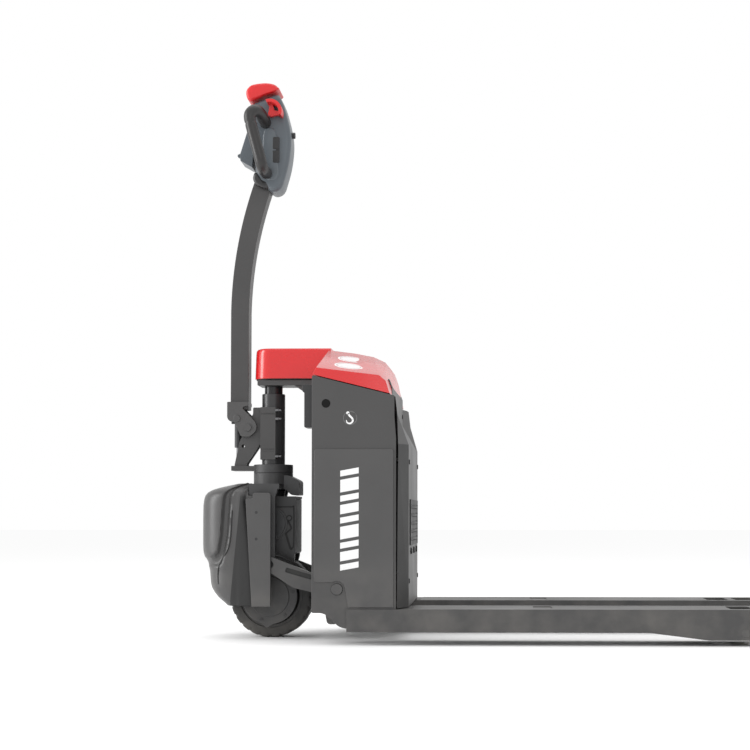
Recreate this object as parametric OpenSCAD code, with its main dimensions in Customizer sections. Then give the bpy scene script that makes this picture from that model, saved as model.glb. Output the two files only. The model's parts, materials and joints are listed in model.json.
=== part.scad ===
// Electric pallet truck: single driven, steered wheel, coaxial lift cylinder, two forks on tandem load rollers.
// +X runs from the tiller towards the fork tips, +Z is up, the floor is z = 0, and y = 0 is the plane of symmetry.

/* [Overall] */
// Length of the forks from the battery panel to the tips
fork_length = 1150; // [900:10:1300]
// Width over both forks
overall_width = 550; // [520:5:690]
// Distance from the steering axis to the battery panel
axis_to_panel = 364; // [350:1:400]
// Distance from the steering axis to the nose of the drive cover
nose_reach = 174; // [165:1:190]
// Travel of the lift
lift_travel = 115; // [60:5:120]

/* [Forks] */
// Width of one fork
fork_width = 160; // [150:5:180]
// Height of the top of the lowered forks
fork_top = 86.6; // [84:0.1:95]
// Thickness of the fork plates
fork_plate = 5; // [4:0.5:6]

/* [Load rollers] */
// Radius of a load roller
roller_r = 40; // [34:0.5:40]
// Width of a load roller
roller_w = 60; // [50:1:62]
// Distance between the two rollers of a bogie
roller_pitch = 100; // [98:1:110]
// Radius of the roller axles
axle_r = 8; // [6:0.5:9]

/* [Drive] */
// Radius of the drive wheel
wheel_r = 105; // [95:1:108]
// Width of the drive wheel's tyre
wheel_w = 70; // [50:1:72]
// Radius of the drive motor
motor_r = 40; // [34:1:41]
// Radius of the lift cylinder
cylinder_r = 29.5; // [27:0.5:31]
// Radius of the piston rod
rod_r = 23; // [18:0.5:24]

/* [Tiller] */
// Side of the square tiller tube
tube_side = 46; // [36:1:48]
// Wall of the tiller tube
tube_wall = 3; // [2:0.5:4]
// Radius of the bend in the tiller tube
bend_r = 1060; // [900:10:1300]
// Angle of the bend in the tiller tube
bend_angle = 19.1; // [12:0.1:22]
// Width of the control head
head_width = 84; // [70:2:100]
// Radius of the hand grips
grip_r = 15.5; // [12:0.5:17]

/* [Body] */
// Thickness of the body's steel plates
plate = 5; // [4:0.5:6]
// Wall of the moulded covers
cover_wall = 4; // [3:0.5:5]
// Radial clearance of a running fit
running = 0.05; // [0.03:0.01:0.09]

/* [Hidden] */
$fn = 48;
eps = 0.01;

// Places along the truck
total_length = nose_reach + axis_to_panel + fork_length;
steer_x = nose_reach - total_length / 2;
panel_x = steer_x + axis_to_panel;
tip_x = total_length / 2;
half_width = overall_width / 2;

// Chassis box
box_front_x = steer_x + 132;
side_outer = half_width - fork_plate;
side_inner = side_outer - plate;
panel_half = side_outer - 70;
panel_upper_x = panel_x - 40;
corner_x = panel_x - 30;
fork_rear_x = panel_x - 148;
fork_inner_y = half_width - fork_width;
fork_mid_y = half_width - fork_width / 2;
fork_roof = fork_top - fork_plate;
channel_half = fork_width / 2 - fork_plate;
box_top_front = 645;
box_top_back = 596;
tray_z = 168;

// Load wheel frames
frame_x = tip_x - 354;
frame_z = 31;
frame_pin_r = 10;
frame_reach = 121;
bogie_z = roller_r;
bogie_x = frame_x + frame_reach;
rod_lever = 39.3;
frame_swing = 65;
rod_pin_r = 8;
rod_pin_x = frame_x - rod_lever * sin(frame_swing / 2);
rod_pin_z = frame_z + rod_lever * cos(frame_swing / 2);
bogie_plate_in = roller_w / 2 + 2;
bogie_plate_out = bogie_plate_in + 8;
frame_plate_in = bogie_plate_out + 2;
frame_plate_out = frame_plate_in + 8;

// Bell crank
crank_x = steer_x + 193;
crank_z = 133.5;
crank_pin_r = 13.45;
crank_tube_r = 24;
arm_pin_z = 190;
arm_pin_r = 8;
arm_in = 106;
arm_out = 118;
lever_length = 74;
lever_tilt = 13.3;
lever_x = crank_x - lever_length * sin(lever_tilt);
lever_z = crank_z - lever_length * cos(lever_tilt);
rod_half = 10;
crank_tube_half = fork_mid_y + 31;

// Drive unit
motor_z = 289;
crown_base_z = 376;
case_top_z = 358;
drum_top_z = 417.5;
flange_top_z = 439.5;
flange_r = 50;
column_r = 30;
leg_in = 92;
leg_out = 104;
cylinder_base_z = flange_top_z;
cylinder_top_z = 621;
boom_z = 641;
cover_half = 125;
gland_z = 228;
cable_r = 3.8;

// Tiller
tube_x = -84.5;
tube_base_z = 580;
straight_top_z = 812;
pivot_x = -62;
pivot_z = 534;
pivot_pin_r = 8;
lug_x = -90;
lug_z = 557;
lug_pin_r = 5;
spring_x = -91;
clevis_in = tube_side / 2;
web_in = 12;
web_out = clevis_in - 3;
clevis_out = clevis_in + 8;

// ---- shared shapes -------------------------------------------------------------------------------

function unit(v) = v / norm(v);

// A polygon's outline with the corner at each point rounded to the radius in the point's third place
function rounded(points, steps = 5) = [
  for (i = [0 : len(points) - 1])
    let (
      n = len(points),
      p = [points[i][0], points[i][1]],
      r = len(points[i]) > 2 ? points[i][2] : 0,
      q = points[(i + n - 1) % n],
      s = points[(i + 1) % n],
      a = unit([q[0], q[1]] - p),
      b = unit([s[0], s[1]] - p),
      half = acos(max(-1, min(1, a * b))) / 2,
      tangent = r / tan(half),
      centre = p + unit(a + b) * (r / sin(half)),
      from = p + a * tangent - centre,
      start = atan2(from[1], from[0]),
      to = p + b * tangent - centre,
      turn = ((atan2(to[1], to[0]) - start + 540) % 360) - 180
    )
    each r == 0 ? [p] : [for (k = [0 : steps]) centre + r * [cos(start + turn * k / steps),
      sin(start + turn * k / steps)]]];

// An open line of points made into a closed band of the given thickness on its left side
function band(points, t) =
  let (n = len(points))
  concat(points, [for (k = [0 : n - 1])
    let (
      i = n - 1 - k,
      before = unit(points[max(i, 1)] - points[max(i, 1) - 1]),
      after = unit(points[min(i + 1, n - 1)] - points[min(i + 1, n - 1) - 1]),
      normal = unit([-(before + after)[1], (before + after)[0]])
    )
    points[i] + normal * t / (normal * [-before[1], before[0]])]);

// A plate cut in the XZ plane that fills y from low to high
module plate_xz(outline, low, high) {
  translate([0, high, 0]) rotate([90, 0, 0]) linear_extrude(high - low) polygon(outline);
}

// The same plate on both sides of the middle plane
module both_plates(outline, low, high) {
  plate_xz(outline, low, high);
  plate_xz(outline, -high, -low);
}

module mirrored() {
  children();
  mirror([0, 1, 0]) children();
}

// A round bar along Y
module bar_y(r, low, high, x = 0, z = 0) {
  translate([x, high, z]) rotate([90, 0, 0]) cylinder(r = r, h = high - low);
}

module box_between(low, high) {
  translate(low) cube(high - low);
}

module at_steering() {
  translate([steer_x, 0, 0]) children();
}

// ---- forks ---------------------------------------------------------------------------------------

fork_outline = rounded([
  [fork_rear_x, 32], [frame_x - 228, 32, 120], [frame_x - 85, 14, 120],
  [tip_x - 70, 14, 30], [tip_x, 46, 8], [tip_x, 62, 6], [tip_x - 5, fork_top, 8], [fork_rear_x, fork_top]]);

// One fork: a channel that is open below, with a solid nose, on the +Y side
module fork() {
  nose_x = tip_x - 70;
  difference() {
    plate_xz(fork_outline, fork_inner_y, half_width);
    box_between([fork_rear_x - 1, fork_inner_y + fork_plate, -1],
      [nose_x, half_width - fork_plate, fork_roof]);
    // slot that takes the chassis side plate
    box_between([fork_rear_x - 1, side_inner, -1], [corner_x, side_outer, fork_top + 1]);
    // room for the crank lever behind the roof plate
    box_between([fork_rear_x - 1, fork_mid_y - 34, 0], [fork_rear_x + 42, fork_mid_y + 34, fork_top + 1]);
    // the heel is planed a little lower than the top face
    box_between([fork_rear_x - 1, fork_inner_y - 1, fork_top - 0.6],
      [panel_x + 8, half_width + 1, fork_top + 1]);
    // windows in the roof: over the frame pivot, over the rollers, and a shallow pressed recess at the heel
    fork_window(frame_x - 30, frame_x + 26, 50, fork_roof - 1);
    fork_window(frame_x + 45, bogie_x + roller_pitch / 2 + 50, 50, fork_roof - 1);
    fork_window(panel_x + 298, panel_x + 343, 45, fork_top - 2);
    // nose rounded in plan
    for (side = [-1, 1]) translate([tip_x, fork_mid_y + side * fork_width / 2, 0])
      linear_extrude(300, center = true)
        polygon([[1, side], [-70, side], [-30, -side * 12], [-10, -side * 26], [1, -side * 44]]);
    // pin of the wheel frame
    bar_y(frame_pin_r, fork_inner_y - 1, half_width + 1, frame_x, frame_z);
  }
}

module fork_window(low, high, half, floor_z) {
  r = 8;
  translate([0, fork_mid_y, floor_z]) linear_extrude(fork_plate + 2)
    polygon(rounded([[low, -half, r], [high, -half, r], [high, half, r], [low, half, r]]));
}

module right_fork() { color("#5b5b5c") mirror([0, 1, 0]) fork(); }
module left_fork() { color("#5b5b5c") fork(); }

module fork_pins() {
  color("#6b6b6c") mirrored() bar_y(frame_pin_r - running, fork_inner_y, half_width, frame_x, frame_z);
}

// ---- chassis box ---------------------------------------------------------------------------------

side_outline = rounded([
  [box_front_x, 77, 4], [box_front_x, box_top_front, 3], [panel_upper_x + 6, box_top_back, 3],
  [panel_upper_x + 6, 546, 20], [corner_x, 492, 12], [corner_x, 40], [fork_rear_x - 14, 40, 40],
    [box_front_x + 30, 77, 30]]);

module side_plate() {
  difference() {
    plate_xz(side_outline, side_inner, side_outer);
    bar_y(crank_pin_r + running, side_inner - 1, side_outer + 1, crank_x, crank_z);
    bar_y(9.8, side_inner - 1, side_outer + 1, box_front_x + 34, 577);
  }
}

module right_side_plate() { color("#5a5a5b") mirror([0, 1, 0]) side_plate(); }
module left_side_plate() { color("#5a5a5b") side_plate(); }

// Raised panels on the lower part of each side
module side_covers() {
  outline = rounded([
    [box_front_x + 6, 150, 6], [box_front_x + 6, 468, 6], [corner_x - 6, 468, 6], [corner_x - 6, 90.5],
      [fork_rear_x + 4, 90.5, 3],
    [fork_rear_x - 6, 150, 20]]);
  color("#626263") mirrored() difference() {
    plate_xz(outline, side_outer, side_outer + 3);
    bar_y(crank_pin_r + 6, side_outer - 1, side_outer + 4, crank_x, crank_z);
  }
}

module front_plate() {
  color("#5a5a5b") difference() {
    box_between([box_front_x, -side_inner, 200], [box_front_x + plate, side_inner, box_top_front - 6]);
    rotate([0, 90, 0]) translate([-gland_z, -60, box_front_x - 1]) cylinder(r = 9, h = plate + 2);
  }
}

back_line = [
  [panel_x - 4, 88], [panel_x - 4, 481], [panel_upper_x - 4, 551], [panel_upper_x - 4, 620],
  [panel_upper_x - 12, 642]];

module back_panel() {
  color("#7b7b7c") plate_xz(band(back_line, plate - 1), -panel_half, panel_half);
}

// The slanted corners between the side plates and the battery panel
module corner_strips() {
  heights = [fork_top + 1, 481, 551, 594];
  panel_edge = [panel_x - 4, panel_x - 4, panel_upper_x - 4, panel_upper_x - 4];
  side_edge = [corner_x + 2, corner_x + 5, panel_upper_x + 13, panel_upper_x + 8];
  color("#4a4a4b") mirrored() for (i = [0 : 2]) hull() polyhedron(
    points = [for (k = [i, i + 1]) each [
      [panel_edge[k], panel_half + 0.5, heights[k]], [side_edge[k], side_outer, heights[k]],
      [side_edge[k], side_inner, heights[k]], [panel_edge[k] - 4, panel_half + 0.5, heights[k]]]],
    faces = [[0, 1, 2, 3], [7, 6, 5, 4], [1, 0, 4, 5], [2, 1, 5, 6], [3, 2, 6, 7], [0, 3, 7, 4]]);
}

module floor_plate() {
  color("#4c4c4d") {
    box_between([box_front_x + plate, -side_inner, tray_z], [corner_x - 2, side_inner, tray_z + plate]);
    box_between([corner_x - 3, -panel_half + 3, tray_z], [panel_x - 10, panel_half - 3, tray_z + plate]);
  }
}

module top_bracket() {
  gusset = rounded([
    [steer_x + 58, boom_z], [box_front_x, boom_z], [box_front_x, 545], [box_front_x - 12, 545],
    [box_front_x - 38, boom_z - 24, 10]]);
  color("#555556") {
    box_between([steer_x - 36, -40, boom_z], [box_front_x + 40, 40, boom_z + 14]);
    both_plates(gusset, 28, 36);
  }
}

module front_box() {
  color("#4a4a4b") plate_xz(rounded([
    [box_front_x, 518], [box_front_x - 14, 518, 4], [box_front_x - 14, 604, 2], [box_front_x - 18, 606, 2],
    [box_front_x - 18, 624, 2], [box_front_x, 624]]), -26, 26);
}

// ---- top cover -----------------------------------------------------------------------------------

ridge = [[box_front_x + 8, 735], [panel_upper_x - 54, 712], [panel_upper_x - 30, 702],
  [panel_upper_x - 14, 680], [panel_upper_x - 3, 650]];

// The roof of the box as a solid, drawn in by the given amount
module roof_solid(inset) {
  hull() {
    for (p = ridge) translate([p[0] + (p[0] < box_front_x + 20 ? inset : -inset), 0, p[1] - inset - 1])
      cube([1, 2 * (50 - inset), 2], center = true);
    for (p = [[box_front_x + 4, 659], [panel_upper_x - 40, 643], [panel_upper_x - 4, 616]])
      translate([p[0] + (p[0] < box_front_x + 20 ? inset : -inset), 0, p[1] - inset - 1])
        cube([1, 2 * (side_outer - 4 - inset), 2], center = true);
    for (p = [[box_front_x + 1, box_top_front + 1.5], [panel_upper_x - 3, box_top_back + 4.5]])
      translate([p[0] + (p[0] < box_front_x + 20 ? inset : -inset), 0, p[1] - (inset > 0 ? 6 : 0)])
        cube([1, 2 * (side_outer - inset), 2], center = true);
  }
}

module cap_solid(inset) {
  hull() {
    at_steering() translate([0, 0, 658 - (inset > 0 ? 1 : 0)])
      cylinder(r1 = 47 - inset, r2 = 43 - inset, h = 79 - inset);
    box_between([box_front_x + 20, -(47 - inset), 658], [box_front_x + 22, 47 - inset, 735 - inset]);
  }
}

module top_cover() {
  color("#e02b2f") difference() {
    union() {
      roof_solid(0);
      cap_solid(0);
    }
    union() {
      roof_solid(cover_wall);
      cap_solid(cover_wall);
    }
    // the boom runs in through the skirt, the back panel's bend stands inside it
    box_between([steer_x - 60, -42, 600], [box_front_x + 60, 42, 657.9]);
    box_between([panel_upper_x - 24, -panel_half - 1, 560], [panel_x, panel_half + 1, 645]);
  }
}

// ---- inside the box ------------------------------------------------------------------------------

module battery_pack() {
  low = [box_front_x + 14, -160, tray_z + plate];
  high = [panel_x - 18, 90, 430];
  color("#2f3236") {
    difference() {
      box_between(low, high);
      translate([0, 0, high[2] - 12]) box_between([low[0] + 40, -75, 0], [high[0] - 40, 5, 20]);
    }
    box_between([low[0] + 92, -75, high[2] - 8], [low[0] + 110, 5, high[2] - 1]);
  }
}

module controller() {
  color("#3b3d40") {
    box_between([box_front_x + 12, 105, tray_z + plate], [panel_x - 60, 135, 330]);
    for (k = [0 : 6]) box_between([box_front_x + 18 + k * 20, 135, tray_z + plate + 6],
      [box_front_x + 24 + k * 20, 150, 324]);
  }
}

// Electric motor, valve block and oil tank of the hydraulic pump, on a shelf above the battery
module pump_unit() {
  z = 500;
  x = box_front_x + 90;
  color("#3f4144") {
    box_between([box_front_x + plate, -120, z - 46], [panel_upper_x - 12, 200, z - 41]);
    translate([x, 60, z]) rotate([90, 0, 0]) cylinder(r = 42, h = 110);
    box_between([x - 38, 60, z - 40], [x + 38, 92, z + 40]);
    translate([x, 92, z]) rotate([-90, 0, 0]) cylinder(r = 40, h = 90);
  }
}

// Pressure hose from the valve block to the top of the piston rod, clipped under the cover
hose_route = [
  [box_front_x + 90, 76, 541], [box_front_x + 90, 76, 580], [box_front_x + 84, 74, 612],
    [box_front_x + 66, 66, 640],
  [box_front_x + 40, 52, 664], [box_front_x + 10, 36, 672], [box_front_x - 30, 20, 672],
    [box_front_x - 70, 8, 672],
  [box_front_x - 104, 1, 671], [box_front_x - 122, 0, 666], [box_front_x - 132, 0, 658.5]];

// Rings of a tube along a line of points, each square to the line
function ring_axes(path, i) =
  let (
    d = unit(path[min(i + 1, len(path) - 1)] - path[max(i - 1, 0)]),
    side = unit(cross(d, abs(d[1]) < 0.9 ? [0, 1, 0] : [1, 0, 0]))
  ) [side, cross(d, side)];

module swept_tube(path, r, sides) {
  n = len(path);
  polyhedron(
    points = [for (i = [0 : n - 1]) let (a = ring_axes(path, i)) for (k = [0 : sides - 1])
      path[i] + r * (cos(360 * k / sides) * a[0] + sin(360 * k / sides) * a[1])],
    faces = concat(
      [[for (k = [0 : sides - 1]) k], [for (k = [0 : sides - 1]) n * sides - 1 - k]],
      [for (i = [0 : n - 2]) for (k = [0 : sides - 1])
        [i * sides + k, (i + 1) * sides + k, (i + 1) * sides + (k + 1) % sides,
          i * sides + (k + 1) % sides]]));
}

module hydraulic_hose() { color("#1c1c1d") swept_tube(hose_route, 6, 10); }

module piston_rod() {
  color("#8d8f92") at_steering() translate([0, 0, 461]) cylinder(r = rod_r, h = boom_z - 461);
}

// ---- small parts on the box ----------------------------------------------------------------------

module crank_pins() {
  color("#6b6b6c") mirrored() bar_y(crank_pin_r, crank_tube_half - 48, side_outer + 3.5, crank_x, crank_z);
}

module vent_grille() {
  x = panel_x;
  color("#1d1d1f") {
    difference() {
      box_between([x - 4, -160, 236], [x - 1, 160, 349]);
      for (k = [0 : 4]) box_between([x - 3, -146, 247 + k * 20], [x, 146, 257 + k * 20]);
    }
    for (k = [0 : 4]) translate([0, 0, 247 + k * 20])
      plate_xz([[x - 3, 0], [x - 0.5, 2], [x - 0.5, 6], [x - 3, 8]], -146, 146);
  }
}

module rubber_bumpers() {
  color("#101011") for (y = [-118, 0, 118]) translate([panel_x - 4, y, 222]) rotate([0, 90, 0])
    cylinder(r1 = 9, r2 = 7, h = 4);
}

// Plugs in the side plates and the cable gland in the front plate
module rubber_plugs() {
  color("#0b0b0c") {
    mirrored() bar_y(9.75, side_inner, side_outer + 0.5, box_front_x + 34, 577);
    translate([box_front_x + plate + 3, -60, gland_z]) rotate([0, -90, 0]) difference() {
      union() {
        cylinder(r = 8.9, h = plate + 3);
        translate([0, 0, plate + 3]) cylinder(r1 = 9, r2 = 6.5, h = 9);
      }
      translate([0, 0, -1]) cylinder(r = cable_r + 0.5, h = 30);
    }
  }
}

// Motor cable from the gland to the crown, with the slack that the lift needs
cable_route = [
  [box_front_x + 12, -60, gland_z], [box_front_x - 12, -60, gland_z], [box_front_x - 18, -60, gland_z - 4],
  [box_front_x - 22, -60, gland_z - 14], [box_front_x - 22, -61, gland_z - 34],
    [box_front_x - 20, -62, gland_z - 60],
  [box_front_x - 22, -65, gland_z - 74], [box_front_x - 29, -71, gland_z - 79],
    [box_front_x - 38, -79, gland_z - 70],
  [box_front_x - 62, -88, gland_z - 42], [box_front_x - 87, -94, gland_z - 26],
    [box_front_x - 102, -98, gland_z - 19],
  [box_front_x - 111.4, -98, gland_z - 19]];

module motor_cable() { color("#0f0f10") swept_tube(cable_route, cable_r, 10); }

module panel_screws() {
  color("#2a2a2b") {
    for (y = [-1, 1], z = [150, 440]) translate([panel_x - 4, y * (panel_half - 16), z])
      rotate([0, 90, 0]) cylinder(r = 6, h = 2.5);
    for (y = [-1, 1], z = [575]) translate([panel_upper_x - 4, y * (panel_half - 16), z])
      rotate([0, 90, 0]) cylinder(r = 6, h = 2.5);
  }
}

// ---- carrier: the part of the drive that lifts but doesn't steer ------------------------------------

leg_outline = rounded([[-46, crown_base_z + 13, 8], [-46, crown_base_z - 12], [-24, crown_base_z - 60, 30],
  [-20, arm_pin_z - 19, 18],
  [20, arm_pin_z - 19, 18], [20, crown_base_z - 20, 20], [30, crown_base_z + 13, 8]]);

module crown() {
  horn = rounded([[20, crown_base_z], [20, drum_top_z - 6], [44, drum_top_z - 6, 14],
    [72, drum_top_z - 20, 10], [72, 361, 3], [52, 361, 14], [36, crown_base_z, 6]]);
  color("#3f3f40") at_steering() {
    difference() {
      union() {
        translate([0, 0, crown_base_z]) cylinder(r = flange_r, h = drum_top_z - crown_base_z);
        box_between([-46, -leg_out, crown_base_z], [30, leg_out, crown_base_z + 13]);
        both_plates(leg_outline, leg_in, leg_out);
        plate_xz(horn, -38, 38);
      }
      translate([0, 0, 300]) cylinder(r = column_r + running, h = 200);
    }
    mirrored() bar_y(arm_pin_r, leg_out - 2, arm_out + 1, 0, arm_pin_z);
  }
}

cover_side = [
  [12, 84], [12, 340, 6], [2, 372, 6], [-46, 372, 4], [-52, 396, 3], [-93, 390, 30], [-141, 379, 20],
    [-166, 371, 14], [-174, 340, 20], [-174, 214, 16],
  [-154, 186, 16], [-154, 132, 16], [-108, 88, 30], [-70, 84, 20]];
cover_plan = [
  [14, -cover_half], [-62, -cover_half, 16], [-112, -104, 30], [-nose_reach, -78, 34],
    [-nose_reach, 78, 34], [-112, 104, 30], [-62, cover_half, 16], [14, cover_half]];

module drive_cover_solid(wall) {
  intersection() {
    plate_xz(rounded([for (p = cover_side) [
      p[0] > 0 ? p[0] + (wall > 0 ? 5 : 0) : p[0] * nose_reach / 174 + wall,
      p[1] < 150 ? p[1] - wall * 8 : p[1] - wall, len(p) > 2 ? p[2] : 0]]), -200, 200);
    linear_extrude(600) polygon(rounded([for (p = cover_plan) [
      p[0] > 0 ? p[0] + (wall > 0 ? 5 : 0) : p[0] + wall, p[1] - sign(p[1]) * wall, len(p) > 2 ? p[2] : 0]]));
  }
}

module drive_cover() {
  color("#6a6a6b") at_steering() difference() {
    drive_cover_solid(0);
    drive_cover_solid(cover_wall);
    translate([0, 0, 374]) cylinder(r = flange_r + 4, h = 100);
    // the crown's saddle stands in the open top
    box_between([-47.5, -leg_out - 2, 340], [40, leg_out + 2, 420]);
    mirrored() for (z = [317, 251]) bar_y(4, cover_half - 5, cover_half + 1, -24, z);
  }
}

module cover_screws() {
  color("#161617") at_steering() mirrored() for (z = [317, 251])
    bar_y(3.9, cover_half - cover_wall, cover_half, -24, z);
}

// ---- bell crank ----------------------------------------------------------------------------------

// The arms' outline from the crank's pin: an eye that is slotted for the straight travel of the drive
module bell_crank() {
  arm = rounded([
    [crank_x + 22, crank_z + 20, 24], [crank_x - 80, crank_z + 33.5, 30],
      [steer_x + 20, arm_pin_z + 14, 20], [steer_x - 24, arm_pin_z + 24, 14],
        [steer_x - 28, arm_pin_z - 10, 14],
    [steer_x + 6, arm_pin_z - 20, 12], [steer_x + 67, 130, 26], [crank_x - 20, crank_z - 29, 26],
      [crank_x + 26, crank_z - 20, 24]]);
  rise = atan2(arm_pin_z - crank_z, crank_x - steer_x);
  lever = rounded([
    [crank_x - 20, crank_z + 4, 10], [lever_x - 16, lever_z + 6, 6], [lever_x - 12, lever_z - 15, 10],
      [lever_x + 12, lever_z - 15, 10],
    [lever_x + 16, lever_z + 6, 6], [crank_x + 16, crank_z + 4, 10]]);
  recess = rounded([[-70, -7, 3], [-150, -7, 3], [-150, 5, 3], [-70, 5, 3]]);
  color("#5f5f60") difference() {
    union() {
      bar_y(crank_tube_r, -crank_tube_half, crank_tube_half, crank_x, crank_z);
      both_plates(arm, arm_in, arm_out);
      both_plates(lever, fork_mid_y - rod_half - 12, fork_mid_y - rod_half - 2);
      both_plates(lever, fork_mid_y + rod_half + 2, fork_mid_y + rod_half + 12);
      mirrored() bar_y(rod_pin_r, fork_mid_y - rod_half - 4, fork_mid_y + rod_half + 4, lever_x, lever_z);
    }
    mirrored() bar_y(crank_pin_r + running, crank_tube_half - 50, crank_tube_half + 4, crank_x, crank_z);
    // slots in the eyes, along the arms
    translate([crank_x, 0, crank_z]) rotate([0, rise, 0]) for (side = [-1, 1])
      translate([-196, side * (arm_in + arm_out) / 2, 0])
      rotate([90, 0, 0]) linear_extrude(arm_out - arm_in + 2, center = true)
        polygon(rounded([[-15, -9.5, 9], [13.5, -9.5, 9], [13.5, 9.5, 9], [-15, 9.5, 9]]));
    // pressed groove along the outside of each arm
    translate([crank_x, 0, crank_z]) rotate([0, rise, 0]) mirrored()
      plate_xz(recess, arm_out - 3, arm_out + 1);
  }
}

// ---- push rods -----------------------------------------------------------------------------------

// One rod on the +Y side: an eye at each end, slotted upright, with a flat bar between
module push_rod() {
  module eye(x, z, up) {
    difference() {
      plate_xz(rounded([[x - 15, z - 15, 8], [x + 15, z - 15, 8], [x + 15, z + up + 2.2, 3],
        [x - 15, z + up + 2.2, 3]]),
        fork_mid_y - rod_half, fork_mid_y + rod_half);
      plate_xz(rounded([[x - 9.2, z - 11, 8], [x + 9.2, z - 11, 8], [x + 9.2, z + up, 2],
        [x - 9.2, z + up, 2]]),
        fork_mid_y - rod_half - 1, fork_mid_y + rod_half + 1);
    }
  }
  eye(lever_x, lever_z, 12);
  eye(rod_pin_x, rod_pin_z, 14.7);
  box_between([lever_x + 15 - eps, fork_mid_y - 6, 53], [rod_pin_x - 15 + eps, fork_mid_y + 6, 73]);
}

module push_rods() { color("#4e4e4f") mirrored() push_rod(); }

// ---- load wheel frames, bogies and rollers -----------------------------------------------------------

module wheel_frame() {
  side = rounded([
    [frame_x - 17, frame_z - 12, 10], [frame_x + 20, frame_z - 14, 10], [bogie_x + 14, bogie_z - 15, 10],
      [bogie_x + 14, bogie_z + 15, 12],
    [frame_x + 40, frame_z + 26, 20], [rod_pin_x + 12, rod_pin_z + 10, 8],
      [rod_pin_x - 12, rod_pin_z + 8, 8]]);
  difference() {
    translate([0, fork_mid_y, 0]) {
      both_plates(side, frame_plate_in, frame_plate_out);
      bar_y(frame_pin_r + 6, -frame_plate_in - 1, frame_plate_in + 1, frame_x, frame_z);
      bar_y(rod_pin_r, -frame_plate_in - 1, frame_plate_in + 1, rod_pin_x, rod_pin_z);
      bar_y(axle_r - 0.5, -frame_plate_in - 1, frame_plate_in + 1, bogie_x, bogie_z);
    }
    bar_y(frame_pin_r, fork_mid_y - 60, fork_mid_y + 60, frame_x, frame_z);
  }
}

module right_wheel_frame() { color("#454546") mirror([0, 1, 0]) wheel_frame(); }
module left_wheel_frame() { color("#454546") wheel_frame(); }

module bogie() {
  half = roller_pitch / 2;
  side = rounded([
    [bogie_x - half - 13, bogie_z - 12, 10], [bogie_x + half + 13, bogie_z - 12, 10],
      [bogie_x + half + 13, bogie_z + 12, 10],
    [bogie_x - half - 13, bogie_z + 12, 10]]);
  difference() {
    translate([0, fork_mid_y, 0]) {
      both_plates(side, bogie_plate_in, bogie_plate_out);
      for (x = [-half, half]) bar_y(axle_r, -bogie_plate_out, bogie_plate_out, bogie_x + x, bogie_z);
    }
    bar_y(axle_r - 0.5 + running, fork_mid_y - 60, fork_mid_y + 60, bogie_x, bogie_z);
  }
}

module right_bogie() { color("#3c3c3d") mirror([0, 1, 0]) bogie(); }
module left_bogie() { color("#3c3c3d") bogie(); }

// A polyurethane tyre on a steel hub
module roller(x) {
  tyre_in = roller_r - 12;
  translate([x, fork_mid_y, bogie_z]) rotate([90, 0, 0]) rotate_extrude() {
    translate([axle_r + running, -roller_w / 2]) square([tyre_in - axle_r - running, roller_w]);
    polygon(rounded([[tyre_in, -roller_w / 2], [roller_r, -roller_w / 2, 3], [roller_r, roller_w / 2, 3],
      [tyre_in, roller_w / 2]]));
  }
}

module right_rear_roller() { color("#a08a5c") mirror([0, 1, 0]) roller(bogie_x - roller_pitch / 2); }
module right_front_roller() { color("#a08a5c") mirror([0, 1, 0]) roller(bogie_x + roller_pitch / 2); }
module left_rear_roller() { color("#a08a5c") roller(bogie_x - roller_pitch / 2); }
module left_front_roller() { color("#a08a5c") roller(bogie_x + roller_pitch / 2); }

// ---- steered drive unit ------------------------------------------------------------------------------

module lift_cylinder() {
  color("#262627") at_steering() difference() {
    union() {
      translate([0, 0, cylinder_base_z]) cylinder(r = cylinder_r, h = cylinder_top_z - 14 - cylinder_base_z);
      translate([0, 0, cylinder_top_z - 14]) cylinder(r = cylinder_r, h = 14);
    }
    translate([0, 0, cylinder_base_z + 8]) cylinder(r = rod_r + running, h = 300);
  }
}

module steering_flange() {
  color("#4a4a4b") at_steering() {
    translate([0, 0, drum_top_z + 0.3]) cylinder(r = flange_r, h = flange_top_z - drum_top_z - 0.3);
    translate([0, 0, case_top_z]) cylinder(r = column_r, h = drum_top_z - case_top_z + 1);
  }
}

module tiller_bracket() {
  web = rounded([
    [-29, 586], [-50, 586, 3], [-50, 562, 10], [-72, 562, 16], [-82, 534, 20], [-76, 516, 10],
      [-84, 500, 8], [-97, 440],
    [-97, 436], [-66, 436], [-66, 442, 4], [-29, 497]]);
  color("#5c5c5d") at_steering() {
    difference() {
      union() {
        box_between([-29, -34, 452], [10, 34, 586]);
        both_plates(web, web_in, web_out);
        box_between([-104, -30, 424], [-30, 30, 436]);
      }
      translate([0, 0, 400]) cylinder(r = cylinder_r, h = 300);
      translate([0, 0, 400]) cylinder(r = flange_r, h = flange_top_z - 400);
      bar_y(pivot_pin_r, -60, 60, pivot_x, pivot_z);
      bar_y(4.3, -60, 60, -75, 487);
      // clamp grooves
      for (z = [[569, 4], [476, 7]]) difference() {
        box_between([-40, -60, z[0] - z[1] / 2], [30, 60, z[0] + z[1] / 2]);
        box_between([-50, -32, 400], [30, 32, 600]);
      }
      translate([spring_x, 0, 400]) cylinder(r = 5.2, h = 60);
    }
  }
}

module bracket_bolts() {
  color("#8a8a8b") at_steering() for (z = [578, 556, 460], y = [-1, 1]) {
    translate([10, y * 33.3, z]) rotate([0, 90, 0]) cylinder(r = 5, h = 8, $fn = 6);
    translate([18, y * 33.3, z]) rotate([0, 90, 0]) cylinder(r = 3, h = 6);
  }
}

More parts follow.
